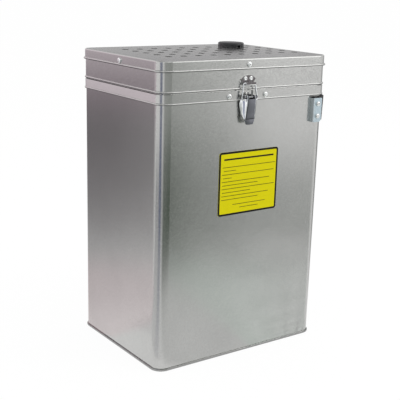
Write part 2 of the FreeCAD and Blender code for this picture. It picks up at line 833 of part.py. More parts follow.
def make_latch_lever():
    """Pressed lever: flared side walls round the pivots, narrowing to a flat finger tip."""
    outer = Part.makeLoft([lever_section(*section, False) for section in lever_sections], True, True)
    inner_sections = [lever_section(*section, True) for section in lever_sections]
    top = list(lever_sections[0])
    top[0] += past
    bottom = list(lever_sections[-1])
    bottom[0] -= past
    inner_sections = [lever_section(*top, True)] + inner_sections + [lever_section(*bottom, True)]
    lever = outer.cut(Part.makeLoft(inner_sections, True, True))
    tip_top_z = lever_pivot_z + lever_sections[-1][0] + tip_lap
    face_out = lever_sections[-1][-1]
    tip_outline = [V(latch_x - tip_half_top, 0, tip_top_z), V(latch_x - tip_half_bottom, 0, tip_bottom_z)]
    tip_outline += [V(latch_x + tip_half_bottom, 0, tip_bottom_z), V(latch_x + tip_half_top, 0, tip_top_z)]
    face = Part.Face(Part.makePolygon(tip_outline + tip_outline[:1]))
    tip = face.extrude(V(0, -tip_sheet, 0))
    low = [edge for edge in tip.Edges
           if edge.BoundBox.YLength > near and edge.BoundBox.ZMax < tip_bottom_z + near]
    tip = tip.makeFillet(tip_round, low)
    tip.translate(V(0, -half_depth - face_out + tip_sheet + tip_proud, 0))
    notch_z = lever_pivot_z - face_notch_drop
    notch_y = -half_depth - lever_pivot_out
    notch = box(latch_x - face_notch_half, latch_x + face_notch_half, notch_y - lever_pivot_out, notch_y,
                notch_z, lever_pivot_z + lever_sections[0][0] + past)
    lever = joined([lever, tip]).cut(notch)
    left = latch_x - bail_foot_x
    right = latch_x + bail_foot_x
    bore = bar_x(pivot_pin_radius + pivot_play, lever_pivot_out, lever_pivot_z, left, right)
    foot = bar_x(bail_radius + bail_play, lever_foot_out, lever_foot_z, left, right)
    return lever.cut(bore).cut(foot)


def make_latch_bail():
    """Wire bail: feet turned in through the lever's walls, and a bar across the keeper's hook."""
    rise_out = bail_bar_out - lever_foot_out
    rise_z = bail_bar_z - lever_foot_z
    length = math.hypot(rise_out, rise_z)

    def at(x, along):
        share = along / length
        return V(latch_x + x, -half_depth - lever_foot_out - share * rise_out, lever_foot_z + share * rise_z)

    corners = [(bail_foot_inner_x, 0), (bail_foot_x, 0), (bail_top_x, length)]
    corners += [(-bail_top_x, length), (-bail_foot_x, 0), (-bail_foot_inner_x, 0)]
    bends = [0, bail_foot_bend, bail_top_bend, bail_top_bend, bail_foot_bend, 0]
    points = [at(*corner) for corner in corners]
    path = rounded_path(points, bends)
    start = points[0]
    section = Part.Face(Part.Wire(Part.makeCircle(bail_radius, start, points[1] - start)))
    return path.makePipe(section)


def rounded_path(points, bends):
    """Straight runs between points, joined by tangent arcs of the given radii."""
    edges = []
    last = points[0]
    for i in range(1, len(points) - 1):
        before = (points[i - 1] - points[i]).normalize()
        after = (points[i + 1] - points[i]).normalize()
        half_angle = before.getAngle(after) / 2
        reach = bends[i] / math.tan(half_angle)
        start = points[i] + before * reach
        end = points[i] + after * reach
        bisector = (before + after).normalize()
        centre = points[i] + bisector * (bends[i] / math.sin(half_angle))
        middle = centre - bisector * bends[i]
        edges.append(Part.makeLine(last, start))
        edges.append(Part.Arc(start, middle, end).toShape())
        last = end
    edges.append(Part.makeLine(last, points[-1]))
    return Part.Wire(edges)


def keeper_rivet_points(out):
    """Two rivets of the keeper."""
    xs = (latch_x - keeper_rivet_x, latch_x + keeper_rivet_x)
    return front_points(xs, (keeper_rivet_z,) * 2, out)


def make_latch_keeper():
    """Keeper plate on the lid band, whose foot curls outwards into a hook for the bail."""
    back_out = band_out + layer_gap
    face_out = back_out + keeper_sheet
    trough_bottom = keeper_trough_z - keeper_lip_sheet
    side = [(keeper_half_width, keeper_corner_z), (keeper_hook_half_width, keeper_waist_z),
            (keeper_hook_half_width, trough_bottom)]
    y_back = -half_depth - back_out
    right = [V(latch_x + x, y_back, z) for x, z in side]
    left = [V(latch_x - x, y_back, z) for x, z in reversed(side)]
    arch = Part.Arc(left[-1], V(latch_x, y_back, keeper_top_z), right[0]).toShape()
    lower_edges = Part.makePolygon(right + left).Edges
    plate = Part.Face(Part.Wire([arch] + lower_edges)).extrude(V(0, -keeper_sheet, 0))
    lip_face = keeper_lip_out + keeper_lip_sheet
    hook = polygon_x([
        (back_out, trough_bottom), (lip_face, trough_bottom), (lip_face, keeper_lip_top_z),
        (keeper_lip_out, keeper_lip_top_z), (keeper_lip_out, keeper_trough_z), (face_out, keeper_trough_z),
        (back_out, keeper_trough_z)],
        latch_x - keeper_hook_half_width, latch_x + keeper_hook_half_width)
    curl = [edge for edge in hook.Edges
            if edge.BoundBox.XLength > near and edge.BoundBox.ZMin < keeper_trough_z
            and abs(edge.BoundBox.YMin + half_depth + lip_face) < near]
    hook = hook.makeFillet(2 * keeper_lip_sheet, curl)
    keeper = joined([plate, hook])
    return drilled(keeper, small_shank_radius + hole_play, keeper_rivet_points(0), (0, 1, 0))


def make_keeper_rivets():
    """Two dome-headed rivets that hold the keeper."""
    out = band_out + layer_gap + keeper_sheet
    length = out - band_out + band_sheet + shank_past
    rivet = fastener(keeper_head_radius, keeper_head_height, small_shank_radius, length)
    return Part.makeCompound([facing(rivet, *point, (0, -1, 0)) for point in keeper_rivet_points(out)])


# Hinges

def hinge_middles():
    """Places of the two hinges along X."""
    return {"left": -hinge_x, "right": hinge_x}


def knuckle_point(angle):
    """Point (out, z) just inside a knuckle's round face, at an angle from straight out."""
    turn = math.radians(angle)
    reach = knuckle_radius - near
    return (hinge_axis_out + reach * math.cos(turn), hinge_axis_z + reach * math.sin(turn))


def make_lower_leaf(middle):
    """Leaf on the collar with the two outer knuckles."""
    inner = collar_out + layer_gap
    outer = inner + leaf_sheet
    start = middle - hinge_length / 2
    end = middle + hinge_length / 2
    top_z = hinge_axis_z - knuckle_radius - knuckle_clear
    profile = folded([(inner, lower_leaf_bottom_z), (inner, top_z)], leaf_sheet)
    plate = polygon_x(profile, start, end, 1)
    web = [(inner, top_z - web_drop), (outer, top_z - web_drop), knuckle_point(-web_outer_angle),
           (hinge_axis_out, hinge_axis_z), knuckle_point(lower_web_inner_angle), (inner, top_z)]
    shapes = [plate]
    for x0, x1 in ((start, middle - middle_knuckle_half - knuckle_gap),
                   (middle + middle_knuckle_half + knuckle_gap, end)):
        shapes.append(polygon_x(web, x0, x1, 1))
        shapes.append(bar_x(knuckle_radius, hinge_axis_out, hinge_axis_z, x0, x1, 1))
    leaf = joined(shapes)
    bore_radius = hinge_pin_radius + pin_play
    leaf = leaf.cut(bar_x(bore_radius, hinge_axis_out, hinge_axis_z, start - past, end + past, 1))
    points = [point for point in leaf_rivet_points(lower_rivet_z, inner) if start < point[0] < end]
    return drilled(leaf, small_shank_radius + hole_play, points, (0, 1, 0))


def make_upper_leaf(middle):
    """Leaf on the lid band with the middle knuckle."""
    inner = band_out + layer_gap
    outer = inner + leaf_sheet
    start = middle - hinge_length / 2
    end = middle + hinge_length / 2
    profile = folded([(inner, upper_leaf_bottom_z), (inner, upper_leaf_top_z)], leaf_sheet)
    plate = polygon_x(profile, start, end, 1)
    x0 = middle - middle_knuckle_half
    x1 = middle + middle_knuckle_half
    web_top = upper_leaf_bottom_z + web_rise
    web = [(inner, upper_leaf_bottom_z), knuckle_point(upper_web_inner_angle), (hinge_axis_out, hinge_axis_z),
           knuckle_point(web_outer_angle), (outer, web_top), (inner, web_top)]
    knuckle = bar_x(knuckle_radius, hinge_axis_out, hinge_axis_z, x0, x1, 1)
    leaf = joined([plate, polygon_x(web, x0, x1, 1), knuckle])
    bore_radius = hinge_pin_radius + hinge_play
    leaf = leaf.cut(bar_x(bore_radius, hinge_axis_out, hinge_axis_z, x0 - past, x1 + past, 1))
    points = [point for point in leaf_rivet_points(upper_rivet_z, inner) if start < point[0] < end]
    return drilled(leaf, small_shank_radius + hole_play, points, (0, 1, 0))


def make_hinge_pins():
    """One headed pin through each hinge."""
    solids = []
    for middle in hinge_middles().values():
        start = middle - hinge_length / 2
        end = middle + hinge_length / 2
        shaft = bar_x(hinge_pin_radius, hinge_axis_out, hinge_axis_z, start, end, 1)
        heads = [bar_x(pin_head_radius, hinge_axis_out, hinge_axis_z, x, x + pin_head_thickness, 1)
                 for x in (start - pin_head_thickness, end)]
        solids.append(joined([shaft] + heads))
    return Part.makeCompound(solids)


def make_leaf_rivets(z, wall_out, wall_depth):
    """Rivets of the hinge leaves at one height."""
    out = wall_out + layer_gap + leaf_sheet
    rivet = fastener(leaf_rivet_head_radius, leaf_rivet_head_height, small_shank_radius, out + wall_depth)
    return Part.makeCompound([facing(rivet, *point, (0, 1, 0)) for point in leaf_rivet_points(z, out)])


# Lid

def cap_screw_points(out):
    """One screw in the middle of each side of the cap, with the direction it faces."""
    return [
        ((cap_screw_x, -half_depth - out, cap_screw_z), (0, -1, 0)),
        ((cap_screw_x, half_depth + out, cap_screw_z), (0, 1, 0)),
        ((-half_width - out, cap_screw_y, cap_screw_z), (-1, 0, 0)),
        ((half_width + out, cap_screw_y, cap_screw_z), (1, 0, 0)),
    ]


def vent_hole_centres():
    """Grid of vent holes, without those under the cable port's cap."""
    centres = []
    for column in range(hole_columns):
        for row in range(hole_rows):
            x = first_hole_x + column * hole_pitch_x
            y = first_hole_y + row * hole_pitch_y
            if math.hypot(x - port_x, y - port_y) > port_cap_radius:
                centres.append((x, y))
    return centres


def make_lid_band():
    """Side wall of the lid: rolled bead below, and a flange turned in under the cap."""
    inner = band_out - band_sheet
    wall = ring(band_out, inner, band_bottom_z + band_bead_radius, band_top_z)
    flange = ring(band_out, inner - band_flange, band_top_z - band_sheet, band_top_z)
    roll = bead(band_bead_out, band_bead_radius, band_bottom_z + band_bead_radius, inner)
    band = joined([wall, flange, roll])
    for point, direction in cap_screw_points(band_out):
        band = drilled(band, screw_shank_radius + hole_play, [point], direction)
    rivets = keeper_rivet_points(0) + leaf_rivet_points(upper_rivet_z, 0)
    return drilled(band, small_shank_radius + hole_play, rivets, (0, 1, 0))


def make_lid_cap():
    """Perforated top with a skirt over the band and a rolled bead."""
    cap = block(cap_out, cap_bottom_z + cap_bead_radius, lid_top_z)
    rim = [edge for edge in cap.Edges if edge.BoundBox.ZMin > lid_top_z - near]
    cap = cap.makeFillet(cap_edge_round, rim)
    inner = cap_out - cap_sheet
    cap = cap.cut(block(inner, cap_bottom_z, cap_plate_z))
    roll = bead(cap_bead_out, cap_bead_radius, cap_bottom_z + cap_bead_radius, inner)
    cap = joined([cap, roll])
    drills = [Part.makeCylinder(hole_radius, 4 * cap_sheet, V(x, y, cap_plate_z - cap_sheet))
              for x, y in vent_hole_centres()]
    port_bore = port_plug_radius + ferrule_sheet + 2 * close_gap
    drills.append(Part.makeCylinder(port_bore, 4 * cap_sheet, V(port_x, port_y, cap_plate_z - cap_sheet)))
    cap = cap.cut(Part.makeCompound(drills))
    for point, direction in cap_screw_points(cap_out):
        cap = drilled(cap, screw_shank_radius + hole_play, [point], direction)
    return cap


def make_lid_cap_screws():
    """Four screws through the cap's skirt and the band."""
    length = cap_out - band_out + band_sheet + shank_past
    screw = fastener(screw_head_radius, screw_head_height, screw_shank_radius, length)
    solids = [facing(screw, *point, direction) for point, direction in cap_screw_points(cap_out)]
    return Part.makeCompound(solids)


def make_lid_inner_pan():
    """Inner sheet of the lid with its edge turned up against the band and a window for the filter."""
    edge_out = band_out - band_sheet - seat_gap
    plate = block(edge_out, lid_pan_z, lid_pan_top_z)
    flange = ring(edge_out, edge_out - lid_pan_sheet, lid_pan_z, lid_pan_top_z + lid_pan_flange)
    pan = joined([plate, flange])
    window_x = filter_length - 2 * filter_frame_lip
    window_y = filter_depth - 2 * filter_frame_lip
    cut_z = lid_pan_z - past
    pan = pan.cut(slab(window_x, window_y, filter_corner_radius, cut_z, lid_pan_top_z + past, filter_x))
    port_bore = port_plug_radius + ferrule_sheet + close_gap
    pan = pan.cut(Part.makeCylinder(port_bore, lid_pan_sheet + 2 * past, V(port_x, port_y, cut_z)))
    return drilled(pan, small_shank_radius + hole_play, screen_screw_points(lid_pan_z), (0, 0, 1))


def screen_screw_points(z):
    """Four screws at the window's corners that hold the vent screen."""
    hx = filter_length / 2 - filter_frame_lip + screen_screw_inset
    hy = filter_depth / 2 - filter_frame_lip + screen_screw_inset
    return [(filter_x + end * hx, side * hy, z) for end in (-1, 1) for side in (-1, 1)]


def make_vent_screen():
    """Slotted plate under the window of the lid's inner pan."""
    size_x = filter_length - 2 * filter_frame_lip + 2 * screen_lap
    size_y = filter_depth - 2 * filter_frame_lip + 2 * screen_lap
    z1 = lid_pan_z - layer_gap
    z0 = z1 - screen_sheet
    plate = slab(size_x, size_y, filter_corner_radius, z0, z1, filter_x)
    slots = []
    for column in range(slot_columns):
        for row in range(slot_rows):
            x = filter_x + (column - (slot_columns - 1) / 2) * slot_pitch_x
            y = (row - (slot_rows - 1) / 2) * slot_pitch_y
            slots.append(box(x - slot_length / 2, x + slot_length / 2, y - slot_width / 2, y + slot_width / 2,
                             z0 - past, z1 + past))
    plate = plate.cut(Part.makeCompound(slots))
    return drilled(plate, small_shank_radius + hole_play, screen_screw_points(z0), (0, 0, 1))


def make_vent_screen_screws():
    """Four small screws, heads down, into the lid's inner pan."""
    z = lid_pan_z - layer_gap - screen_sheet
    length = screen_sheet + layer_gap + lid_pan_sheet
    screw = fastener(small_head_radius, small_head_height, small_shank_radius, length)
    return Part.makeCompound([facing(screw, *point, (0, 0, -1)) for point in screen_screw_points(z)])


def make_lid_gasket():
    """Soft ring that closes on the collar's lip."""
    return ring(gasket_out, gasket_out - gasket_width, gasket_bottom_z, lid_pan_z - layer_gap)


def make_lid_insulation():
    """Board in the lid round the filter, with a hole for the cable port."""
    z0 = lid_pan_top_z + seat_gap
    out = band_out - band_sheet - 2 * seat_gap - lid_pan_sheet
    board = block(out, z0, z0 + lid_insulation_thickness)
    room = 2 * seat_gap
    window = slab(filter_length + room, filter_depth + room, filter_corner_radius + seat_gap,
                  z0 - past, lid_top_z, filter_x)
    board = board.cut(window)
    port = Part.makeCylinder(port_plug_radius + ferrule_sheet + seat_gap, lid_insulation_thickness + 2 * past,
                             V(port_x, port_y, z0 - past))
    return board.cut(port)


def make_filter_frame():
    """Channel frame round the filter pad, open above and below."""
    z0 = lid_pan_top_z + layer_gap
    z1 = z0 + filter_frame_height
    frame = slab(filter_length, filter_depth, filter_corner_radius, z0, z1, filter_x)
    sheet = filter_frame_sheet
    inside = slab(filter_length - 2 * sheet, filter_depth - 2 * sheet, filter_corner_radius - sheet,
                  z0 + sheet, z1 - sheet, filter_x)
    mouth = slab(filter_length - 2 * filter_frame_lip, filter_depth - 2 * filter_frame_lip,
                 filter_corner_radius, z0 - past, z1 + past, filter_x)
    frame = frame.cut(inside).cut(mouth)
    room_radius = small_shank_radius + seat_gap
    room_height = filter_frame_sheet + 2 * past
    points = screen_screw_points(z0 - past)
    room = [Part.makeCylinder(room_radius, room_height, V(*point)) for point in points]
    return frame.cut(Part.makeCompound(room))


def make_filter_pad():
    """Flame-arresting pad held in the frame."""
    inset = filter_frame_sheet + close_gap
    z0 = lid_pan_top_z + layer_gap + inset
    z1 = lid_pan_top_z + layer_gap + filter_frame_height - inset
    length = filter_length - 2 * inset
    return slab(length, filter_depth - 2 * inset, filter_corner_radius - inset, z0, z1, filter_x)


def make_cable_port_cap():
    """Low rubber cap with a notch for a lead at its front edge, and a plug below."""
    z0 = lid_top_z + close_gap + ferrule_sheet
    z1 = lid_top_z + port_cap_height
    foot_z = lid_top_z + close_gap
    cap = Part.makeCylinder(port_cap_radius, z1 - foot_z, V(port_x, port_y, foot_z))
    rim = [edge for edge in cap.Edges if edge.BoundBox.ZMin > z1 - near]
    cap = cap.makeFillet(port_cap_round, rim)
    seat = Part.makeCylinder(port_plug_radius + ferrule_flange + close_gap, z0 - lid_top_z,
                             V(port_x, port_y, lid_top_z))
    cap = cap.cut(seat)
    plug = Part.makeCylinder(port_plug_radius - close_gap, port_plug_length + z0 - lid_top_z,
                             V(port_x, port_y, lid_top_z - port_plug_length))
    cap = joined([cap, plug])
    notch_y = port_y - port_cap_radius
    notch = box(port_x - port_notch_width / 2, port_x + port_notch_width / 2, notch_y - past,
                notch_y + port_notch_depth, lid_top_z, lid_top_z + port_notch_height)
    return cap.cut(notch)


def make_cable_port_ferrule():
    """Steel sleeve of the port, from a flange on the cap down to the lid's inner pan."""
    radius = port_plug_radius + ferrule_sheet
    flange_z = lid_top_z + layer_gap
    sleeve = Part.makeCylinder(radius, flange_z - lid_pan_z, V(port_x, port_y, lid_pan_z))
    flange = Part.makeCylinder(port_plug_radius + ferrule_flange, ferrule_sheet, V(port_x, port_y, flange_z))
    bore_length = flange_z + ferrule_sheet - lid_pan_z + 2 * past
    bore = Part.makeCylinder(port_plug_radius, bore_length, V(port_x, port_y, lid_pan_z - past))
    return joined([sleeve, flange]).cut(bore)


def make_all():
    """Every node of the cabinet by its name."""
    nodes = {
        "outer_shell": make_outer_shell(),
        "bottom_pan": make_bottom_pan(),
        "insulation_bottom": make_insulation_bottom(),
        "collar": make_collar(),
        "collar_screws": make_collar_screws(),
        "label_panel": make_label_panel(),
        "strap_handle": make_strap_handle(),
        "strap_cap_front": make_strap_cap(-1),
        "strap_cap_rear": make_strap_cap(1),
        "strap_screws": make_strap_screws(),
        "latch_base": make_latch_base(),
        "latch_base_rivets": make_latch_base_rivets(),
        "latch_pivot_pin": make_latch_pivot_pin(),
        "latch_lever": make_latch_lever(),
        "latch_bail": make_latch_bail(),
        "latch_keeper": make_latch_keeper(),
        "keeper_rivets": make_keeper_rivets(),
        "hinge_pins": make_hinge_pins(),
        "hinge_rivets_lower": make_leaf_rivets(lower_rivet_z, collar_out, shell_sheet + shank_past),
        "hinge_rivets_upper": make_leaf_rivets(upper_rivet_z, band_out, band_sheet - band_out + shank_past),
        "lid_band": make_lid_band(),
        "lid_cap": make_lid_cap(),
        "lid_cap_screws": make_lid_cap_screws(),
        "lid_inner_pan": make_lid_inner_pan(),
        "lid_insulation": make_lid_insulation(),
        "lid_gasket": make_lid_gasket(),
        "filter_frame": make_filter_frame(),
        "filter_pad": make_filter_pad(),
        "vent_screen": make_vent_screen(),
        "vent_screen_screws": make_vent_screen_screws(),
        "cable_port_cap": make_cable_port_cap(),
        "cable_port_ferrule": make_cable_port_ferrule(),
    }
    nodes.update(make_insulation_walls())
    nodes.update(make_liner())
    for side, middle in hinge_middles().items():
        nodes["hinge_leaf_lower_" + side] = make_lower_leaf(middle)
        nodes["hinge_leaf_upper_" + side] = make_upper_leaf(middle)
    return nodes


def main():
    """Write one STEP file per node."""
    os.makedirs("parts", exist_ok=True)
    for name, shape in sorted(make_all().items()):
        solids = shape.Solids
        print(name, "solids", len(solids), "valid", shape.isValid(), "volume", round(shape.Volume, 1))
        shape.exportStep("parts/" + name + ".step")


main()
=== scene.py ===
"""Looks of the battery cabinet: materials, small fasteners, label, light and camera. Metres, +Z up."""
import json
import math

import bmesh
import bpy
from mathutils import Matrix, Vector


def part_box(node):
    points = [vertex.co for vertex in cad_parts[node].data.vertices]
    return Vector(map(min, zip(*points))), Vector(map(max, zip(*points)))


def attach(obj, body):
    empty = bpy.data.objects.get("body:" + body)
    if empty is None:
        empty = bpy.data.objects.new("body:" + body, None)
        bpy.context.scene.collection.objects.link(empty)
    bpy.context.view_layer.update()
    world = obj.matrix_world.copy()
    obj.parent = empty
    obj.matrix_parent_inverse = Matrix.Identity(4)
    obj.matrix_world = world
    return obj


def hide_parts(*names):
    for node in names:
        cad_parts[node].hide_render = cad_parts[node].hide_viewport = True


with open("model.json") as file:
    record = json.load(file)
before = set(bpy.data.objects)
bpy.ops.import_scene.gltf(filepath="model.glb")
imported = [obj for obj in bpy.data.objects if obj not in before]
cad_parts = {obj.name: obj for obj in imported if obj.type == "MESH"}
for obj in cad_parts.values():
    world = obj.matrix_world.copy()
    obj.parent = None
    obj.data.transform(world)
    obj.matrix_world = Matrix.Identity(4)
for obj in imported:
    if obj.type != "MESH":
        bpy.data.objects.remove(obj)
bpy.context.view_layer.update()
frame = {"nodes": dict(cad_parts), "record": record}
nodes = frame["nodes"]

# Face of the shell's front, from the frame
front_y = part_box("outer_shell")[0].y

# Camera of the photograph
camera_azimuth = math.radians(-35.65)
camera_elevation = math.radians(15.47)
camera_roll = math.radians(1.6)
camera_distance = 1.53107
camera_target = Vector((0.00108, 0.0, 0.21511))
focal_pixels = 861.75
frame_pixels = 400.0
sensor_mm = 36.0
middle_x_pixels = 200.64
middle_y_pixels = 213.85
camera_clip_start = 0.05
camera_clip_end = 50.0

# Screw and rivet heads: turned profiles of (radius, height) in metres
pan_head = [(0.0, -0.0004), (0.0041, -0.0004), (0.0043, 0.0002), (0.0043, 0.0009), (0.0041, 0.0016),
            (0.0036, 0.0022), (0.0028, 0.00255), (0.0018, 0.0026), (0.0, 0.0026)]
tubular_head = [(0.0, -0.0002), (0.0034, -0.0002), (0.0035, 0.0001), (0.0032, 0.0005), (0.0027, 0.00082),
                (0.0021, 0.0009), (0.0016, 0.0006), (0.0013, 0.0001), (0.0, 0.0)]
head_segments = 32
recess_length = 0.0050
recess_width = 0.0011
recess_depth = 0.0015
recess_taper = 0.55
on_axis = 1e-7
sharp_angle = math.radians(38)
recess_turn_step = 37.0
front = (0, -1, 0)
back = (0, 1, 0)
left = (-1, 0, 0)
right = (1, 0, 0)
down = (0, 0, -1)
collar_face = 0.1260
collar_screw_z = 0.4419
cap_face_y = 0.1264
cap_face_x = 0.1679
cap_screw_z = 0.4908
strap_cap_face = 0.13275
strap_screw_x = 0.1426
strap_screw_high = 0.4204
strap_screw_low = 0.3998
keeper_face = 0.1269
keeper_rivet_z = 0.4686
# Screws of each node: its body, and the place and direction of each head
screw_nodes = {
    "collar_screws": ("cabinet", [((-0.0409, -collar_face, collar_screw_z), front),
                                  ((0.0319, -collar_face, collar_screw_z), front),
                                  ((-0.0364, collar_face, collar_screw_z), back),
                                  ((0.0364, collar_face, collar_screw_z), back)]),
    "lid_cap_screws": ("lid", [((-0.0035, -cap_face_y, cap_screw_z), front),
                               ((-0.0035, cap_face_y, cap_screw_z), back),
                               ((-cap_face_x, -0.0048, cap_screw_z), left),
                               ((cap_face_x, -0.0048, cap_screw_z), right)]),
    "strap_screws": ("cabinet", [((strap_screw_x, -strap_cap_face, strap_screw_high), front),
                                 ((strap_screw_x, -strap_cap_face, strap_screw_low), front),
                                 ((strap_screw_x, strap_cap_face, strap_screw_high), back),
                                 ((strap_screw_x, strap_cap_face, strap_screw_low), back)]),
}
keeper_rivet_places = [((-0.0101, -keeper_face, keeper_rivet_z), front),
                       ((0.0011, -keeper_face, keeper_rivet_z), front)]

# Noises of the finishes: scale per metre, detail, roughness and, where it is stretched, the stretch
sheet_grain = (900.0, 2.0, 0.6)
sheet_fleck = (380.0, 3.0, 0.55)
sheet_cloud = (14.0, 4.0, 0.55)
sheet_rub = (60.0, 2.0, 0.5, (1.0, 1.0, 14.0))
metal_fine = (700.0, 2.0, 0.5, (1.0, 1.0, 0.25))
metal_smear = (120.0, 3.0, 0.6)
rubber_dust = (40.0, 3.0, 0.6)
film_ink = (800.0, 2.0, 0.5)
film_ripple = (30.0, 2.0, 0.5)

# Strengths of the finishes, and stops of (position, share)
grain_contrast = 0.07
fleck_contrast = 0.6 * grain_contrast
cloud_contrast = 0.03
smear_contrast = 0.04
sheet_bump = (0.05, 0.00010)
metal_bump = (0.06, 0.0002)
rubber_bump = (0.25, 0.0002)
film_bump = (0.15, 0.0004)
fibre_bump = 0.6
fibre_roughness = 0.95
film_specular = 0.08
patches_per_strand = 12.0
rub_stops = [(0.62, 0.0), (0.75, 0.3)]
rub_polish = 0.08
# Painted shade under the rolled beads: stops of (facing down, share) that darken the sheet
painted_underside_shade_stops = [(0.56, 1.0), (0.72, 0.35)]
dust_stops = [(0.35, 0.9), (0.75, 1.5)]
strand_stops = [(0.3, 0.7), (0.7, 1.15)]
patch_stops = [(0.3, 0.8), (0.7, 1.1)]
patch_share = 0.5
ink_stops = [(0.3, 0.96), (0.7, 1.03)]
forward_stops = [(0.50, 0.0), (0.55, 1.0)]

# Painted reflections and shade on the latch, its keeper and the strap's caps, as stops of (facing, colour)
unchanged = (1.0, 1.0, 1.0)
# Painted reflections on the lever: its flat face darker and a navy band on its left flank; painted shade
# where it faces down
painted_face_reflection = (0.235, 0.235, 0.26)
painted_flank_reflection = (0.035, 0.045, 0.085)
painted_lever_underside_shade = (0.06, 0.06, 0.07)
# Painted reflection: the keeper's flat front is darker than its other faces
painted_keeper_reflection = (0.20, 0.185, 0.19)
# Painted shade: the strap caps are darker on the faces that don't look left, so their left fold stays bright
painted_strap_cap_shade = (0.57, 0.62, 0.64)
lever_painted_reflections_and_shade = [(left, [(0.34, unchanged), (0.42, painted_face_reflection), (0.56, painted_face_reflection), (0.61, painted_flank_reflection),
                       (0.78, painted_flank_reflection), (0.83, unchanged)]),
               (down, [(0.60, unchanged), (0.68, painted_lever_underside_shade)])]
strap_cap_painted_shade = [(left, [(0.50, painted_strap_cap_shade), (0.60, unchanged)])]
keeper_painted_reflection = [(front, [(0.955, unchanged), (0.985, painted_keeper_reflection)])]

# Stage
world_light = 0.75
floor_radius = 40.0
floor_drop = 0.0004
floor_glow = 0.93
floor_white = 1.02
floor_grey = 0.86
floor_sides = 96
white = (1.0, 1.0, 1.0, 1.0)
card_step = 3.0

# Area lights: name, place, target, size in metres and power in watts
lamps = [("overhead", (0.3, -0.5, 2.4), (0, 0, 0.2), (2.2, 2.2), 14.0),
         ("front_right", (1.9, -2.2, 1.2), (0, 0, 0.25), (1.4, 1.8), 12.0)]

# Shares of cover of three veils, along the profile in metres and across the azimuths in degrees. They were
# fitted to how bright the steel is in the photograph, then rounded and changed.
front_along = [(0, 0.18), (0.1, 0.20), (0.2, 0.23), (0.3, 0.28), (0.43, 0.40), (0.56, 0.66), (0.7, 0.83),
               (0.76, 0.92), (0.82, 0.87), (0.88, 0.83), (0.95, 0.76), (1.02, 0.56), (1.12, 0.58),
               (1.3, 0.55), (1.6, 0.28)]
front_across = [(222, 0.00), (227, 0.60), (232, 0.95), (250, 0.95), (268, 1.00), (280, 1.00), (286, 1.00),
                (290, 0.88), (294, 0.67), (298, 0.62), (302, 0.28), (306, 0.00)]
front_right_along = [(0, 0.26), (0.1, 0.29), (0.2, 0.30), (0.3, 0.33), (0.43, 0.40), (0.56, 0.49),
                     (0.7, 0.49), (0.76, 0.46), (0.82, 0.42), (0.88, 0.30), (0.95, 0.12), (1.02, 0.04),
                     (1.12, 0.22), (1.3, 0.20), (1.6, 0.06)]
front_right_across = [(294, 0.00), (298, 0.33), (302, 0.85), (306, 1.00), (310, 1.00), (316, 1.00),
                      (322, 0.70), (334, 0.00)]
left_along = [(0, 0.04), (0.06, 0.12), (0.15, 0.25), (0.25, 0.29), (0.37, 0.38), (0.52, 0.47),
              (0.67, 0.60), (0.75, 0.71), (0.82, 0.76), (0.9, 0.80), (0.96, 0.76), (1.02, 0.66),
              (1.08, 0.44), (1.16, 0.06), (1.42, 0.00)]
left_across = [(88, 0.00), (98, 1.00), (110, 1.00), (120, 1.00), (128, 1.00), (134, 0.93), (141, 0.76),
               (147, 0.61), (152, 0.54), (157, 0.28), (164, 0.00)]

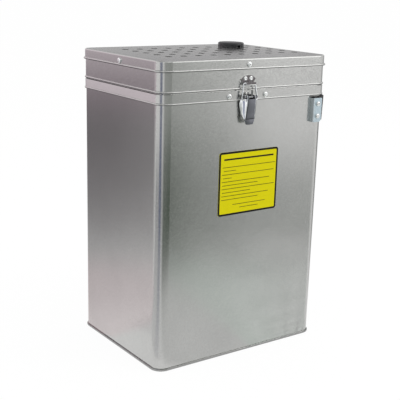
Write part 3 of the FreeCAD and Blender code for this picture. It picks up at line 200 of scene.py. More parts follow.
# Veils: name, azimuths, profile of (distance, height) points, colour, shares along it and shares across it
front_profile = [(0.10, 0.002), (0.80, 0.002), (0.80, 0.90)]
front_dark = (0.01, 0.04, 0.01)
veils = [
    ("card_front", (220, 334), front_profile, front_dark, front_along, front_across),
    ("card_front_right", (292, 336), front_profile, front_dark, front_right_along, front_right_across),
    ("card_left_front", (194, 219), [(0.25, 0.002), (0.95, 0.002), (0.95, 0.95)], (0.10, 0.13, 0.24),
     [(0.0, 0.15), (0.25, 0.40), (0.60, 0.66), (0.80, 0.80), (1.20, 0.80), (1.60, 0.45)],
     [(195, 0.0), (199, 1.0), (213, 1.0), (217, 0.0)]),
    ("card_corner", (158, 230), [(0.24, 0.002), (1.02, 0.002), (1.02, 0.95)], (0.05, 0.06, 0.08),
     [(0.0, 0.15), (0.26, 0.28), (0.46, 0.36), (0.70, 0.46), (0.78, 0.56), (0.85, 0.56), (0.92, 0.40),
      (1.0, 0.10), (1.06, 0.0), (1.7, 0.0)],
     [(159, 0.0), (167, 1.0), (221, 1.0), (228, 0.0)]),
    ("card_left_high", (88, 170), [(0.87, 0.26), (0.87, 1.00)], (0.95, 0.62, 0.80),
     [(0.0, 0.0), (0.06, 0.32), (0.60, 0.32), (0.74, 0.0)],
     [(88, 0.0), (100, 1.0), (156, 1.0), (168, 0.0)]),
    ("card_left_back", (88, 166), [(0.18, 0.002), (0.85, 0.002), (0.85, 0.75)], (0.03, 0.01, 0.025),
     left_along, left_across),
    ("card_right", (-20, 40), [(0.30, 0.002), (0.85, 0.002), (0.85, 0.75)], (0.03, 0.03, 0.03),
     [(0.0, 0.15), (0.30, 0.40), (0.60, 0.60), (0.80, 0.68), (1.00, 0.40), (1.30, 0.10)],
     [(-20, 0.0), (-8, 1.0), (30, 1.0), (40, 0.0)]),
    ("card_top", (0, 360), [(0.02, 1.9), (1.6, 1.9)], (0.03, 0.03, 0.03),
     [(0.0, 0.6), (1.0, 0.6), (1.58, 0.0)], [(0, 1.0), (360, 1.0)]),
    ("card_left_low", (88, 174), [(0.175, 0.004), (0.65, 0.004)], (1.05, 0.72, 0.78),
     [(0.0, 0.22), (0.28, 0.22), (0.45, 0.0)],
     [(88, 0.0), (98, 1.0), (166, 1.0), (173, 0.0)]),
    ("card_front_low", (276, 334), [(0.10, 0.004), (0.70, 0.004)], (0.80, 1.12, 0.93),
     [(0.0, 0.16), (0.40, 0.16), (0.58, 0.0)],
     [(277, 0.0), (284, 1.0), (300, 0.8), (315, 0.3), (333, 0.0)]),
    ("card_back", (24, 86), [(1.30, 0.50), (1.30, 1.50)], (0.03, 0.02, 0.03),
     [(0.0, 0.1), (0.20, 0.70), (0.60, 0.70), (1.0, 0.2)],
     [(24, 0.0), (36, 1.0), (72, 1.0), (86, 0.0)]),
]

# Label
print_proud = 0.00012
border_width = 0.0032
border_radius = 0.0048
corner_steps = 6
rule_width = 0.0008
title_rule_width = 0.0026
# Blank rules: distance below the label's top, and the shares of its width where each begins and ends
rules = [(0.0123, 0.08, 0.92), (0.0250, 0.06, 0.95), (0.0310, 0.08, 0.28), (0.0369, 0.05, 0.93),
         (0.0429, 0.07, 0.21), (0.0488, 0.05, 0.86), (0.0548, 0.06, 0.66), (0.0607, 0.05, 0.95),
         (0.0667, 0.06, 0.53), (0.0726, 0.05, 0.85), (0.0786, 0.05, 0.67), (0.0880, 0.24, 0.80),
         (0.0940, 0.36, 0.68)]

# Lever: rise above the pivot, back half width, face half width, back out, face out, all in metres
lever_middle_x = -0.0045
lever_pivot_z = 0.440
lever_sections = [
    (-0.0356, 0.0108, 0.0092, 0.0086, 0.0099),
    (-0.0345, 0.0113, 0.0093, 0.0085, 0.0110),
    (-0.0250, 0.0144, 0.0088, 0.0052, 0.0122),
    (-0.0110, 0.0169, 0.0081, 0.0033, 0.0140),
    (-0.0040, 0.0146, 0.0080, 0.0038, 0.0144),
    (0.0010, 0.0122, 0.0080, 0.0048, 0.0141),
    (0.0030, 0.0110, 0.0080, 0.0066, 0.0132),
]
lever_rows = 42
lever_sheet = 0.0011
flank_shape = [(0.0, 0.0), (0.14, -0.020), (0.28, -0.040), (0.36, -0.046), (0.50, -0.043), (0.62, -0.040),
               (0.70, -0.022), (0.80, 0.004), (0.91, 0.028)]
corner_round = 0.0010
face_crown = 0.00015
face_notch_rise = -0.0030
face_notch_half = 0.0064
# Shares of the corner's rounding, out from the face's edge and back from the face
corner_shape = [(0.15, 0.75), (-0.35, 0.20), (-1.0, 0.0)]
# Shares of the notch's half width and of the crown
crown_shape = [(1.0, 0.3), (0.5, 0.8), (0.0, 1.0)]
tab_outline = [(-0.0098, -0.0310), (-0.0091, -0.0385), (-0.0080, -0.0422), (-0.0058, -0.0437), (0.0, -0.0440)]
tab_sheet = 0.0015
tab_out = 0.0101
tab_bevel = 0.0005
tab_bevel_steps = 3


def new_material(name):
    """Material with a node tree, its shader and its tree."""
    material = bpy.data.materials.new(name)
    material.use_nodes = True
    tree = material.node_tree
    shader = tree.nodes["Principled BSDF"]
    return material, tree, shader


def add(tree, kind, **values):
    """Node of a kind, with inputs set by name and other settings as attributes."""
    made = tree.nodes.new(kind)
    for name, value in values.items():
        socket = made.inputs.get(name.replace("_", " "))
        if socket is not None:
            socket.default_value = value
        else:
            setattr(made, name, value)
    return made


def ramp(tree, source, stops):
    """Colour ramp fed by a value: stops are (position, grey or colour)."""
    made = tree.nodes.new("ShaderNodeValToRGB")
    elements = made.color_ramp.elements
    while len(elements) < len(stops):
        elements.new(0.5)
    for element, (position, colour) in zip(elements, stops):
        element.position = position
        if isinstance(colour, (int, float)):
            colour = (colour, colour, colour)
        element.color = (*colour, 1.0)
    tree.links.new(source, made.inputs["Fac"])
    return made.outputs["Color"]


def noise(tree, coordinates, scale, detail, roughness, stretch=None):
    """Noise value at a scale per metre, stretched along the axes if asked."""
    made = add(tree, "ShaderNodeTexNoise", Scale=scale, Detail=detail, Roughness=roughness)
    source = coordinates
    if stretch is not None:
        mapping = add(tree, "ShaderNodeMapping", Scale=stretch)
        tree.links.new(coordinates, mapping.inputs["Vector"])
        source = mapping.outputs["Vector"]
    tree.links.new(source, made.inputs["Vector"])
    return made.outputs["Fac"]


def blend_colour(tree, mode, factor, first, second):
    """Mix of two colours; each may be a socket or a plain colour, and the factor a socket or a number."""
    made = tree.nodes.new("ShaderNodeMix")
    made.data_type = "RGBA"
    made.blend_type = mode
    for name, value in (("Factor", factor), ("A", first), ("B", second)):
        sockets = [s for s in made.inputs if s.name == name and s.enabled]
        socket = sockets[-1] if name != "Factor" else sockets[0]
        if isinstance(value, bpy.types.NodeSocket):
            tree.links.new(value, socket)
        elif name == "Factor":
            socket.default_value = value
        else:
            socket.default_value = (*value, 1.0)
    return [s for s in made.outputs if s.enabled][0]


def bump(tree, shader, height, strength, distance):
    """Bump on a shader from a height value."""
    made = add(tree, "ShaderNodeBump", Strength=strength, Distance=distance)
    tree.links.new(height, made.inputs["Height"])
    tree.links.new(made.outputs["Normal"], shader.inputs["Normal"])
    return made


def object_coordinates(tree):
    """Coordinates of the piece in metres."""
    return tree.nodes.new("ShaderNodeTexCoord").outputs["Object"]


def facing_share(tree, direction):
    """1 where the surface faces a direction, 0 where it faces away from it."""
    facing = add(tree, "ShaderNodeVectorMath", operation="DOT_PRODUCT")
    facing.inputs[1].default_value = direction
    tree.links.new(tree.nodes.new("ShaderNodeTexCoord").outputs["Normal"], facing.inputs[0])
    share = add(tree, "ShaderNodeMath", operation="MULTIPLY_ADD")
    share.inputs[1].default_value = 0.5
    share.inputs[2].default_value = 0.5
    tree.links.new(facing.outputs["Value"], share.inputs[0])
    return share.outputs["Value"]


def spread(tree, source, span, middle, below, above):
    """Ramp from a little below a middle value to a little above it, over a span of the source."""
    return ramp(tree, source, [(span[0], middle - below), (span[1], middle + above)])


def tinted(tree, colour, tint, factor=1.0):
    """Colour multiplied by a tint."""
    return blend_colour(tree, "MULTIPLY", factor, colour, tint)


def leaning_normal(tree, lean):
    """Normal that tips a little upwards on the faces at the two ends of X, by a share of the lean."""
    facing = tree.nodes.new("ShaderNodeNewGeometry").outputs["Normal"]
    size = add(tree, "ShaderNodeVectorMath", operation="ABSOLUTE")
    tree.links.new(facing, size.inputs[0])
    along_x = add(tree, "ShaderNodeVectorMath", operation="DOT_PRODUCT")
    along_x.inputs[1].default_value = (lean, 0.0, 0.0)
    tree.links.new(size.outputs["Vector"], along_x.inputs[0])
    upwards = tree.nodes.new("ShaderNodeCombineXYZ")
    tree.links.new(along_x.outputs["Value"], upwards.inputs["Z"])
    tip = add(tree, "ShaderNodeVectorMath", operation="ADD")
    tree.links.new(facing, tip.inputs[0])
    tree.links.new(upwards.outputs["Vector"], tip.inputs[1])
    unit = add(tree, "ShaderNodeVectorMath", operation="NORMALIZE")
    tree.links.new(tip.outputs["Vector"], unit.inputs[0])
    return unit.outputs["Vector"]


def sheet_steel(name, colour, roughness, lean=0.0):
    """Galvanised sheet: even fine grain, faint clouds, a few fine rubbed lines, and painted shade on the
    undersides.

    A lean shades the faces at the two ends of X as if they tipped a little upwards.
    """
    material, tree, shader = new_material(name)
    place = object_coordinates(tree)
    grain = noise(tree, place, *sheet_grain)
    fleck = noise(tree, place, *sheet_fleck)
    cloud = noise(tree, place, *sheet_cloud)
    rub = noise(tree, place, *sheet_rub)
    shade = tinted(tree, colour, spread(tree, grain, (0.30, 0.70), 1.0, grain_contrast, grain_contrast))
    shade = tinted(tree, shade, spread(tree, fleck, (0.32, 0.68), 1.0, fleck_contrast, fleck_contrast))
    shade = tinted(tree, shade, spread(tree, cloud, (0.3, 0.7), 1.0, cloud_contrast, cloud_contrast))
    # Painted shade: darker where the sheet faces down, under the rolled beads
    shade = tinted(tree, shade, ramp(tree, facing_share(tree, down), painted_underside_shade_stops))
    tree.links.new(shade, shader.inputs["Base Color"])
    shader.inputs["Metallic"].default_value = 1.0
    gloss = spread(tree, fleck, (0.25, 0.75), roughness, 0.05, 0.06)
    rubbed = ramp(tree, rub, rub_stops)
    gloss = blend_colour(tree, "MIX", rubbed, gloss, (roughness - rub_polish,) * 3)
    tree.links.new(gloss, shader.inputs["Roughness"])
    made = bump(tree, shader, grain, *sheet_bump)
    if lean:
        tree.links.new(leaning_normal(tree, lean), made.inputs["Normal"])
    return material


def bright_metal(name, colour, roughness, tones=()):
    """Plated bright metal with faint handling marks, and painted reflections and shade by facing where asked.

    Each tone is painted reflection or painted shade, given as a direction and the stops of a colour ramp: 1
    where the surface faces that way, 0 where it faces away, and 0.5 at right angles to it. Tones are left off
    where the surface faces the back.
    """
    material, tree, shader = new_material(name)
    place = object_coordinates(tree)
    fine = noise(tree, place, *metal_fine)
    smear = noise(tree, place, *metal_smear)
    shade = tinted(tree, colour, spread(tree, smear, (0.3, 0.7), 1.0, smear_contrast, smear_contrast))
    if tones:
        forward = ramp(tree, facing_share(tree, front), forward_stops)
    # Painted reflections and shade: each tone darkens the colour by which way the surface faces
    for direction, stops in tones:
        shade = tinted(tree, shade, ramp(tree, facing_share(tree, direction), stops), forward)
    tree.links.new(shade, shader.inputs["Base Color"])
    shader.inputs["Metallic"].default_value = 1.0
    tree.links.new(spread(tree, fine, (0.3, 0.7), roughness, 0.04, 0.05), shader.inputs["Roughness"])
    bump(tree, shader, smear, *metal_bump)
    return material


def moulded_rubber(name, colour, roughness, pebble=500.0):
    """Black rubber with a fine pebbled skin and dusty high spots."""
    material, tree, shader = new_material(name)
    place = object_coordinates(tree)
    skin = noise(tree, place, pebble, 3.0, 0.6)
    dust = noise(tree, place, *rubber_dust)
    tree.links.new(tinted(tree, colour, ramp(tree, dust, dust_stops)), shader.inputs["Base Color"])
    tree.links.new(spread(tree, skin, (0.3, 0.7), roughness, 0.08, 0.08), shader.inputs["Roughness"])
    bump(tree, shader, skin, *rubber_bump)
    return material


def fibre(name, colour, scale, depth):
    """Pressed or felted fibre."""
    material, tree, shader = new_material(name)
    place = object_coordinates(tree)
    strand = noise(tree, place, scale, 6.0, 0.7)
    patch = noise(tree, place, scale / patches_per_strand, 3.0, 0.5)
    shade = tinted(tree, colour, ramp(tree, strand, strand_stops))
    shade = tinted(tree, shade, ramp(tree, patch, patch_stops), patch_share)
    tree.links.new(shade, shader.inputs["Base Color"])
    shader.inputs["Roughness"].default_value = fibre_roughness
    bump(tree, shader, strand, fibre_bump, depth)
    return material


def printed_film(name, colour, roughness):
    """Thin printed film with a faint ripple from the sheet below."""
    material, tree, shader = new_material(name)
    place = object_coordinates(tree)
    ink = noise(tree, place, *film_ink)
    ripple = noise(tree, place, *film_ripple)
    tree.links.new(tinted(tree, colour, ramp(tree, ink, ink_stops)), shader.inputs["Base Color"])
    shader.inputs["Roughness"].default_value = roughness
    shader.inputs["Specular IOR Level"].default_value = film_specular
    bump(tree, shader, ripple, *film_bump)
    return material


def make_materials():
    """One material for each slot of the record, those of single nodes, and the label's ink."""
    return {
        "shell_steel": sheet_steel("shell_steel", (0.52, 0.52, 0.51), 0.19),
        "foot_steel": sheet_steel("foot_steel", (0.33, 0.33, 0.325), 0.24),
        "collar_steel": sheet_steel("collar_steel", (0.52, 0.52, 0.51), 0.19, lean=0.20),
        "liner_steel": sheet_steel("liner_steel", (0.52, 0.52, 0.50), 0.38),
        "plated_steel": bright_metal("plated_steel", (0.52, 0.60, 0.65), 0.34),
        "latch_chrome": bright_metal("latch_chrome", (0.80, 0.81, 0.83), 0.12),
        "lever_chrome": bright_metal("lever_chrome", (0.90, 0.92, 0.93), 0.12, tones=lever_painted_reflections_and_shade),
        "keeper_chrome": bright_metal("keeper_chrome", (0.85, 0.85, 0.85), 0.20, tones=keeper_painted_reflection),
        "strap_cap_steel": bright_metal("strap_cap_steel", (0.86, 0.93, 0.98), 0.42, tones=strap_cap_painted_shade),
        "dull_chrome": bright_metal("dull_chrome", (0.26, 0.26, 0.27), 0.22),
        "fastener_steel": bright_metal("fastener_steel", (0.93, 0.94, 0.94), 0.09),
        "strap_rubber": moulded_rubber("strap_rubber", (0.012, 0.012, 0.013), 0.5),
        "port_rubber": moulded_rubber("port_rubber", (0.016, 0.016, 0.018), 0.34, 300.0),
        "seal_rubber": moulded_rubber("seal_rubber", (0.03, 0.03, 0.03), 0.8, 900.0),
        "insulation_board": fibre("insulation_board", (0.70, 0.67, 0.58), 500.0, 0.0006),
        "filter_felt": fibre("filter_felt", (0.05, 0.045, 0.042), 700.0, 0.0008),
        "label_film": printed_film("label_film", (0.715, 0.65, 0.002), 0.5),
        "label_ink": printed_film("label_ink", (0.012, 0.012, 0.012), 0.42),
    }


# Nodes whose finish isn't that of their slot
node_finishes = {
    "bottom_pan": "foot_steel",
    "collar": "collar_steel",
    "lid_insulation": "filter_felt",
    "strap_cap_front": "strap_cap_steel",
    "strap_cap_rear": "strap_cap_steel",
    "latch_keeper": "keeper_chrome",
    "latch_base": "dull_chrome",
    "latch_pivot_pin": "dull_chrome",
    "latch_base_rivets": "shell_steel",
}


def dress_nodes(materials):
    """Give each CAD node its slot's material, or the finish that node_finishes names for it."""
    slots = {entry["node"]: entry["material_slot"] for entry in frame["record"]["subparts"]}
    for name, piece in nodes.items():
        piece.data.materials.clear()
        finish = node_finishes.get(name, slots[name])
        piece.data.materials.append(materials[finish])


def add_piece(name, mesh, material, body, replaced=()):
    """Piece from a mesh that rides on a body, takes a finish and may stand for CAD nodes."""
    piece = bpy.data.objects.new(name, mesh)
    bpy.context.scene.collection.objects.link(piece)
    mesh.materials.clear()
    mesh.materials.append(material)
    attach(piece, body)
    if replaced:
        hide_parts(*replaced)


def mesh_from(name, builder):
    """Mesh from a bmesh, whose normals are made to point outwards."""
    bmesh.ops.recalc_face_normals(builder, faces=builder.faces)
    mesh = bpy.data.meshes.new(name)
    builder.to_mesh(mesh)
    builder.free()
    return mesh


def with_modifier(mesh, kind, **settings):
    """The mesh with one modifier applied."""
    carrier = bpy.data.objects.new("carrier", mesh)
    bpy.context.scene.collection.objects.link(carrier)
    modifier = carrier.modifiers.new("made", kind)
    for name, value in settings.items():
        setattr(modifier, name, value)
    bpy.context.view_layer.update()
    evaluated = carrier.evaluated_get(bpy.context.evaluated_depsgraph_get())
    made = bpy.data.meshes.new_from_object(evaluated)
    bpy.data.objects.remove(carrier)
    return made


def cross_cutter():
    """Four-armed wedge that cuts a screw's recess, as an object that is deleted after use."""
    builder = bmesh.new()
    top = pan_head[-1][1]
    for turned in (False, True):
        size = (recess_length, recess_width, recess_depth * 2)
        if turned:
            size = (recess_width, recess_length, recess_depth * 2)
        place = Matrix.Translation((0, 0, top))
        bmesh.ops.create_cube(builder, size=1.0, matrix=place @ Matrix.Diagonal((*size, 1.0)))
    for corner in builder.verts:
        if corner.co.z < top:
            corner.co.x *= recess_taper
            corner.co.y *= recess_taper
    cutter = bpy.data.objects.new("cutter", mesh_from("cutter", builder))
    bpy.context.scene.collection.objects.link(cutter)
    return cutter


def recessed_head():
    """Pan head with a cross recess."""
    builder = bmesh.new()
    lathe(builder, pan_head, head_segments, Matrix.Identity(4))
    cutter = cross_cutter()
    head = with_modifier(mesh_from("pan_head", builder), "BOOLEAN", object=cutter, operation="DIFFERENCE",
                         solver="EXACT", use_self=True)
    bpy.data.objects.remove(cutter)
    return head


def tubular_rivet():
    """Head of a tubular rivet, rolled round its open middle."""
    builder = bmesh.new()
    lathe(builder, tubular_head, head_segments, Matrix.Identity(4))
    return mesh_from("tubular_head", builder)


def placed_heads(name, head, places):
    """One mesh with a head at each place, turned to its direction and each by another angle about it."""
    builder = bmesh.new()
    for index, (place, direction) in enumerate(places):
        facing = Vector(direction).to_track_quat("Z", "Y").to_matrix().to_4x4()
        spin = Matrix.Rotation(math.radians(recess_turn_step * (index + 1)), 4, "Z")
        copy = head.copy()
        copy.transform(Matrix.Translation(place) @ facing @ spin)
        builder.from_mesh(copy)
        bpy.data.meshes.remove(copy)
    mesh = bpy.data.meshes.new(name)
    builder.to_mesh(mesh)
    builder.free()
    mesh.set_sharp_from_angle(angle=sharp_angle)
    return mesh


def make_heads(materials):
    """Detailed heads in place of the plain turned ones."""
    head = recessed_head()
    for node, (body, places) in screw_nodes.items():
        mesh = placed_heads("detailed_" + node, head, places)
        add_piece("detailed_" + node, mesh, materials["fastener_steel"], body, (node,))
    mesh = placed_heads("detailed_keeper_rivets", tubular_rivet(), keeper_rivet_places)
    add_piece("detailed_keeper_rivets", mesh, materials["fastener_steel"], "lid",
              ("keeper_rivets",))


def round_outline(x0, x1, z0, z1, radius):
    """Points (x, z) round a rectangle with round corners."""
    points = []
    for cx, cz, start in ((x1 - radius, z1 - radius, 0), (x0 + radius, z1 - radius, 90),
                          (x0 + radius, z0 + radius, 180), (x1 - radius, z0 + radius, 270)):
        for step in range(corner_steps + 1):
            turn = math.radians(start + 90 * step / corner_steps)
            points.append((cx + radius * math.cos(turn), cz + radius * math.sin(turn)))
    return points


def make_label_print(materials):
    """Black border and blank ruled rows on the yellow panel."""
    low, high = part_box("label_panel")
    face_y = low.y
    builder = bmesh.new()
    outer = round_outline(low.x, high.x, low.z, high.z, border_radius)
    inner = round_outline(low.x + border_width, high.x - border_width, low.z + border_width,
                          high.z - border_width, border_radius - border_width)
    loops = []
    top_y = face_y - print_proud
    for outline, y in ((outer, face_y), (outer, top_y), (inner, top_y), (inner, face_y)):
        loops.append([builder.verts.new((x, y, z)) for x, z in outline])
    count = len(outer)
    for near_loop, far_loop in zip(loops, loops[1:] + loops[:1]):
        for step in range(count):
            after = (step + 1) % count
            builder.faces.new((near_loop[step], near_loop[after], far_loop[after], far_loop[step]))
    for row, (drop, begin, end) in enumerate(rules):
        thick = title_rule_width if row == 0 else rule_width
        wide = high.x - low.x
        middle = (low.x + wide * (begin + end) / 2, face_y - print_proud / 2, high.z - drop)
        size = (wide * (end - begin), print_proud, thick)
        place = Matrix.Translation(middle) @ Matrix.Diagonal((*size, 1.0))
        bmesh.ops.create_cube(builder, size=1.0, matrix=place)
    mesh = mesh_from("label_print", builder)
    add_piece("label_print", mesh, materials["label_ink"], "cabinet")


def curve_through(rows, position):
    """Smooth values between rows of (place, values...), which are in rising order of place."""
    index = 0
    while index < len(rows) - 2 and position > rows[index + 1][0]:
        index += 1
    before = rows[max(index - 1, 0)]
    start = rows[index]
    end = rows[index + 1]
    after = rows[min(index + 2, len(rows) - 1)]
    span = end[0] - start[0]
    t = (position - start[0]) / span
    values = []
    for b, s, e, a in zip(before[1:], start[1:], end[1:], after[1:]):
        slope_start = (e - b) / (end[0] - before[0]) * span
        slope_end = (a - s) / (after[0] - start[0]) * span
        values.append((2 * t ** 3 - 3 * t ** 2 + 1) * s + (t ** 3 - 2 * t ** 2 + t) * slope_start
                      + (3 * t ** 2 - 2 * t ** 3) * e + (t ** 3 - t ** 2) * slope_end)
    return values


def lever_half(back_half, face_half, back_out, face_out):
    """Points (half width, out) from the lever's back edge over its flank to the middle of its face."""
    face_out -= face_crown
    run = (back_half - face_half, face_out - back_out)
    length = math.hypot(*run)
    along = (run[0] / length, run[1] / length)
    points = []
    for share, bulge in flank_shape:
        wide = back_half - share * run[0] + bulge * length * along[1]
        points.append((wide, back_out + share * run[1] + bulge * length * along[0]))
    for outwards, backwards in corner_shape:
        points.append((face_half + outwards * corner_round, face_out - backwards * corner_round))
    for wide_share, crown_share in crown_shape:
        points.append((wide_share * face_notch_half, face_out + crown_share * face_crown))
    return points


def make_lever(materials):
    """Pressed lever with rolled flanks, a round-cornered face and a flat finger tab."""
    builder = bmesh.new()
    lowest = lever_sections[0][0]
    highest = lever_sections[-1][0]
    rows = []
    rises = [lowest + (highest - lowest) * step / lever_rows for step in range(lever_rows + 1)]
    for rise in rises:
        half = lever_half(*curve_through(lever_sections, rise))
        line = [(-wide, out) for wide, out in half] + [(wide, out) for wide, out in reversed(half[:-1])]
        rows.append([builder.verts.new((lever_middle_x + wide, front_y - out, lever_pivot_z + rise))
                     for wide, out in line])
    for rise, low_row, high_row in zip(rises, rows, rows[1:]):
        for step in range(len(low_row) - 1):
            middle_x = (low_row[step].co.x + low_row[step + 1].co.x) / 2 - lever_middle_x
            if rise >= face_notch_rise and abs(middle_x) < face_notch_half:
                continue
            face = builder.faces.new((low_row[step], low_row[step + 1], high_row[step + 1], high_row[step]))
            face.smooth = True
    bmesh.ops.recalc_face_normals(builder, faces=builder.faces)
    if sum(face.normal.y for face in builder.faces) > 0:
        bmesh.ops.reverse_faces(builder, faces=builder.faces)
    shell = bpy.data.meshes.new("lever_shell")
    builder.to_mesh(shell)
    builder.free()
    shell = with_modifier(shell, "SOLIDIFY", thickness=lever_sheet, offset=-1.0)
    tab = bmesh.new()
    outline = tab_outline + [(-x, rise) for x, rise in reversed(tab_outline[:-1])]
    near_y = front_y - tab_out
    # Built face by face, because Blender's extrusion lists its points in another order each run
    near, far = [[tab.verts.new((lever_middle_x + x, y, lever_pivot_z + rise)) for x, rise in outline]
                 for y in (near_y, near_y + tab_sheet)]
    tab.faces.new(near)
    tab.faces.new(far)
    for step in range(len(outline)):
        after = (step + 1) % len(outline)
        tab.faces.new((near[step], near[after], far[after], far[step]))
    tab_mesh = with_modifier(mesh_from("lever_tab", tab), "BEVEL", width=tab_bevel, segments=tab_bevel_steps,
                             limit_method="ANGLE")
    whole = bmesh.new()
    whole.from_mesh(shell)
    whole.from_mesh(tab_mesh)
    mesh = bpy.data.meshes.new("rounded_lever")
    whole.to_mesh(mesh)
    whole.free()
    for polygon in mesh.polygons:
        polygon.use_smooth = True
    mesh.set_sharp_from_angle(angle=sharp_angle)
    add_piece("rounded_lever", mesh, materials["lever_chrome"], "lever", ("latch_lever",))


def lathe(builder, profile, segments, matrix):
    """Surface of revolution about Z from (radius, height) points, closed on the axis and placed."""
    rings = []
    for radius, height in profile:
        if radius < on_axis:
            rings.append([builder.verts.new(matrix @ Vector((0, 0, height)))])
            continue
        ring = []
        for step in range(segments):
            turn = 2 * math.pi * step / segments
            place = Vector((radius * math.cos(turn), radius * math.sin(turn), height))
            ring.append(builder.verts.new(matrix @ place))
        rings.append(ring)
    for low, high in zip(rings, rings[1:]):
        for step in range(segments):
            after = (step + 1) % segments
            if len(low) == 1:
                face = builder.faces.new((low[0], high[step], high[after]))
            elif len(high) == 1:
                face = builder.faces.new((low[step], high[0], low[after]))
            else:
                face = builder.faces.new((low[step], high[step], high[after], low[after]))
            face.smooth = True


def place_frame():
    """Camera at the photograph's place."""
    data = bpy.data.cameras.new("camera")
    camera = bpy.data.objects.new("camera", data)
    bpy.context.scene.collection.objects.link(camera)
    back = Vector((math.sin(camera_azimuth) * math.cos(camera_elevation),
                   -math.cos(camera_azimuth) * math.cos(camera_elevation), math.sin(camera_elevation)))
    level_right = (-back).cross(Vector((0, 0, 1))).normalized()
    level_up = level_right.cross(-back)
    right = level_right * math.cos(camera_roll) + level_up * math.sin(camera_roll)
    up = -level_right * math.sin(camera_roll) + level_up * math.cos(camera_roll)
    turn = Matrix((right, up, back)).transposed().to_4x4()
    camera.matrix_world = Matrix.Translation(camera_target + back * camera_distance) @ turn
    data.sensor_width = sensor_mm
    data.lens = focal_pixels / frame_pixels * sensor_mm
    data.shift_x = -(middle_x_pixels / frame_pixels - 0.5)
    data.shift_y = middle_y_pixels / frame_pixels - 0.5
    data.clip_start = camera_clip_start
    data.clip_end = camera_clip_end
    bpy.context.scene.camera = camera


def area_light(name, place, target, size, power):
    """Soft rectangular light aimed at a point."""
    data = bpy.data.lights.new(name, "AREA")
    data.shape = "RECTANGLE"
    data.size, data.size_y = size
    data.energy = power
    light = bpy.data.objects.new(name, data)
    bpy.context.scene.collection.objects.link(light)
    light.location = place
    light.rotation_euler = (Vector(target) - Vector(place)).to_track_quat("-Z", "Y").to_euler()


def background_rays(tree):
    """Value that is 1 for camera, glossy and transmission rays, which all see the white background."""
    path = tree.nodes.new("ShaderNodeLightPath")
    first = add(tree, "ShaderNodeMath", operation="MAXIMUM")
    tree.links.new(path.outputs["Is Camera Ray"], first.inputs[0])
    tree.links.new(path.outputs["Is Glossy Ray"], first.inputs[1])
    both = add(tree, "ShaderNodeMath", operation="MAXIMUM")
    tree.links.new(first.outputs["Value"], both.inputs[0])
    tree.links.new(path.outputs["Is Transmission Ray"], both.inputs[1])
    return both.outputs["Value"]


def make_world():
    """White surroundings, a little softer where they light the object."""
    world = bpy.data.worlds.new("studio")
    world.use_nodes = True
    bpy.context.scene.world = world
    tree = world.node_tree
    tree.nodes.clear()
    lit = add(tree, "ShaderNodeBackground", Color=white, Strength=world_light)
    seen = add(tree, "ShaderNodeBackground", Color=white, Strength=1.0)
    mix = tree.nodes.new("ShaderNodeMixShader")
    tree.links.new(background_rays(tree), mix.inputs["Fac"])
    tree.links.new(lit.outputs["Background"], mix.inputs[1])
    tree.links.new(seen.outputs["Background"], mix.inputs[2])
    out = tree.nodes.new("ShaderNodeOutputWorld")
    tree.links.new(mix.outputs["Shader"], out.inputs["Surface"])


def make_floor():
    """White floor that keeps a faint shadow."""
    bpy.ops.mesh.primitive_circle_add(vertices=floor_sides, radius=floor_radius, fill_type="NGON",
                                      location=(0, 0, -floor_drop))
    floor = bpy.context.object
    floor.name = "floor"
    material, tree, shader = new_material("floor")
    shader.inputs["Base Color"].default_value = (floor_grey, floor_grey, floor_grey, 1.0)
    shader.inputs["Roughness"].default_value = 1.0
    shader.inputs["Specular IOR Level"].default_value = 0.0
    glow = add(tree, "ShaderNodeEmission", Color=white, Strength=floor_white)
    share = add(tree, "ShaderNodeMath", operation="MULTIPLY")
    share.inputs[1].default_value = floor_glow
    tree.links.new(background_rays(tree), share.inputs[0])
    mix = tree.nodes.new("ShaderNodeMixShader")
    tree.links.new(share.outputs["Value"], mix.inputs["Fac"])
    tree.links.new(shader.outputs["BSDF"], mix.inputs[1])
    tree.links.new(glow.outputs["Emission"], mix.inputs[2])
    tree.links.new(mix.outputs["Shader"], tree.nodes["Material Output"].inputs["Surface"])
    floor.data.materials.append(material)


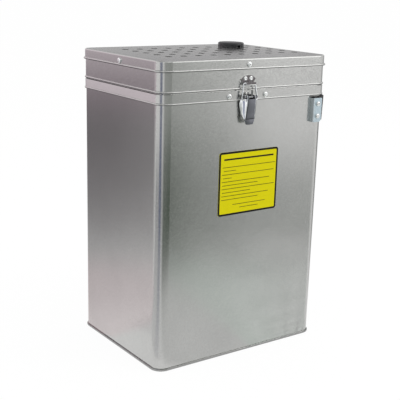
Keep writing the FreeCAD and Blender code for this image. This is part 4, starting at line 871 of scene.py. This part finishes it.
def studio_card(name, azimuths, profile, colour, cover_along, cover_across):
    """Plain veil round the object, which shades what metal reflects. Only reflections show it.

    Its profile is a path of (distance, height) points, swept between two azimuths in degrees. It covers what
    is behind it by a share along the path, in metres, times a share across the azimuths.
    """
    lengths = [0.0]
    for (distance0, height0), (distance1, height1) in zip(profile, profile[1:]):
        lengths.append(lengths[-1] + math.hypot(distance1 - distance0, height1 - height0))
    first, last = azimuths
    steps = int((last - first) / card_step)
    builder = bmesh.new()
    layer = builder.loops.layers.uv.new("card")
    columns = []
    for step in range(steps + 1):
        turn = math.radians(first + (last - first) * step / steps)
        columns.append([builder.verts.new((distance * math.cos(turn), distance * math.sin(turn), height))
                        for distance, height in profile])
    for step, (near, far) in enumerate(zip(columns, columns[1:])):
        for row in range(len(profile) - 1):
            face = builder.faces.new((near[row], far[row], far[row + 1], near[row + 1]))
            corners = ((step, row), (step + 1, row), (step + 1, row + 1), (step, row + 1))
            for loop, (column, level) in zip(face.loops, corners):
                loop[layer].uv = (column / steps, lengths[level] / lengths[-1])
    mesh = bpy.data.meshes.new(name)
    builder.to_mesh(mesh)
    builder.free()
    card = bpy.data.objects.new(name, mesh)
    bpy.context.scene.collection.objects.link(card)
    material = bpy.data.materials.new(name)
    material.use_nodes = True
    tree = material.node_tree
    tree.nodes.clear()
    place = add(tree, "ShaderNodeSeparateXYZ")
    tree.links.new(tree.nodes.new("ShaderNodeTexCoord").outputs["UV"], place.inputs[0])
    along_stops = [(at / lengths[-1], share) for at, share in cover_along]
    across_stops = [((at - first) / (last - first), share) for at, share in cover_across]
    along = ramp(tree, place.outputs["Y"], along_stops)
    across = ramp(tree, place.outputs["X"], across_stops)
    cover = add(tree, "ShaderNodeMath", operation="MULTIPLY", use_clamp=True)
    tree.links.new(along, cover.inputs[0])
    tree.links.new(across, cover.inputs[1])
    glow = add(tree, "ShaderNodeEmission", Color=(*colour, 1.0), Strength=1.0)
    clear = tree.nodes.new("ShaderNodeBsdfTransparent")
    mix = tree.nodes.new("ShaderNodeMixShader")
    tree.links.new(cover.outputs["Value"], mix.inputs["Fac"])
    tree.links.new(clear.outputs["BSDF"], mix.inputs[1])
    tree.links.new(glow.outputs["Emission"], mix.inputs[2])
    out = tree.nodes.new("ShaderNodeOutputMaterial")
    tree.links.new(mix.outputs["Shader"], out.inputs["Surface"])
    mesh.materials.append(material)
    card.visible_camera = False
    card.visible_diffuse = False
    card.visible_transmission = False
    card.visible_shadow = False


def make_cards():
    """Veils that give the steel its soft darker and tinted zones."""
    for veil in veils:
        studio_card(*veil)


place_frame()
materials = make_materials()
dress_nodes(materials)
make_heads(materials)
make_label_print(materials)
make_lever(materials)
make_world()
make_floor()
make_cards()
for lamp in lamps:
    area_light(*lamp)
bpy.context.scene.view_settings.view_transform = "Standard"
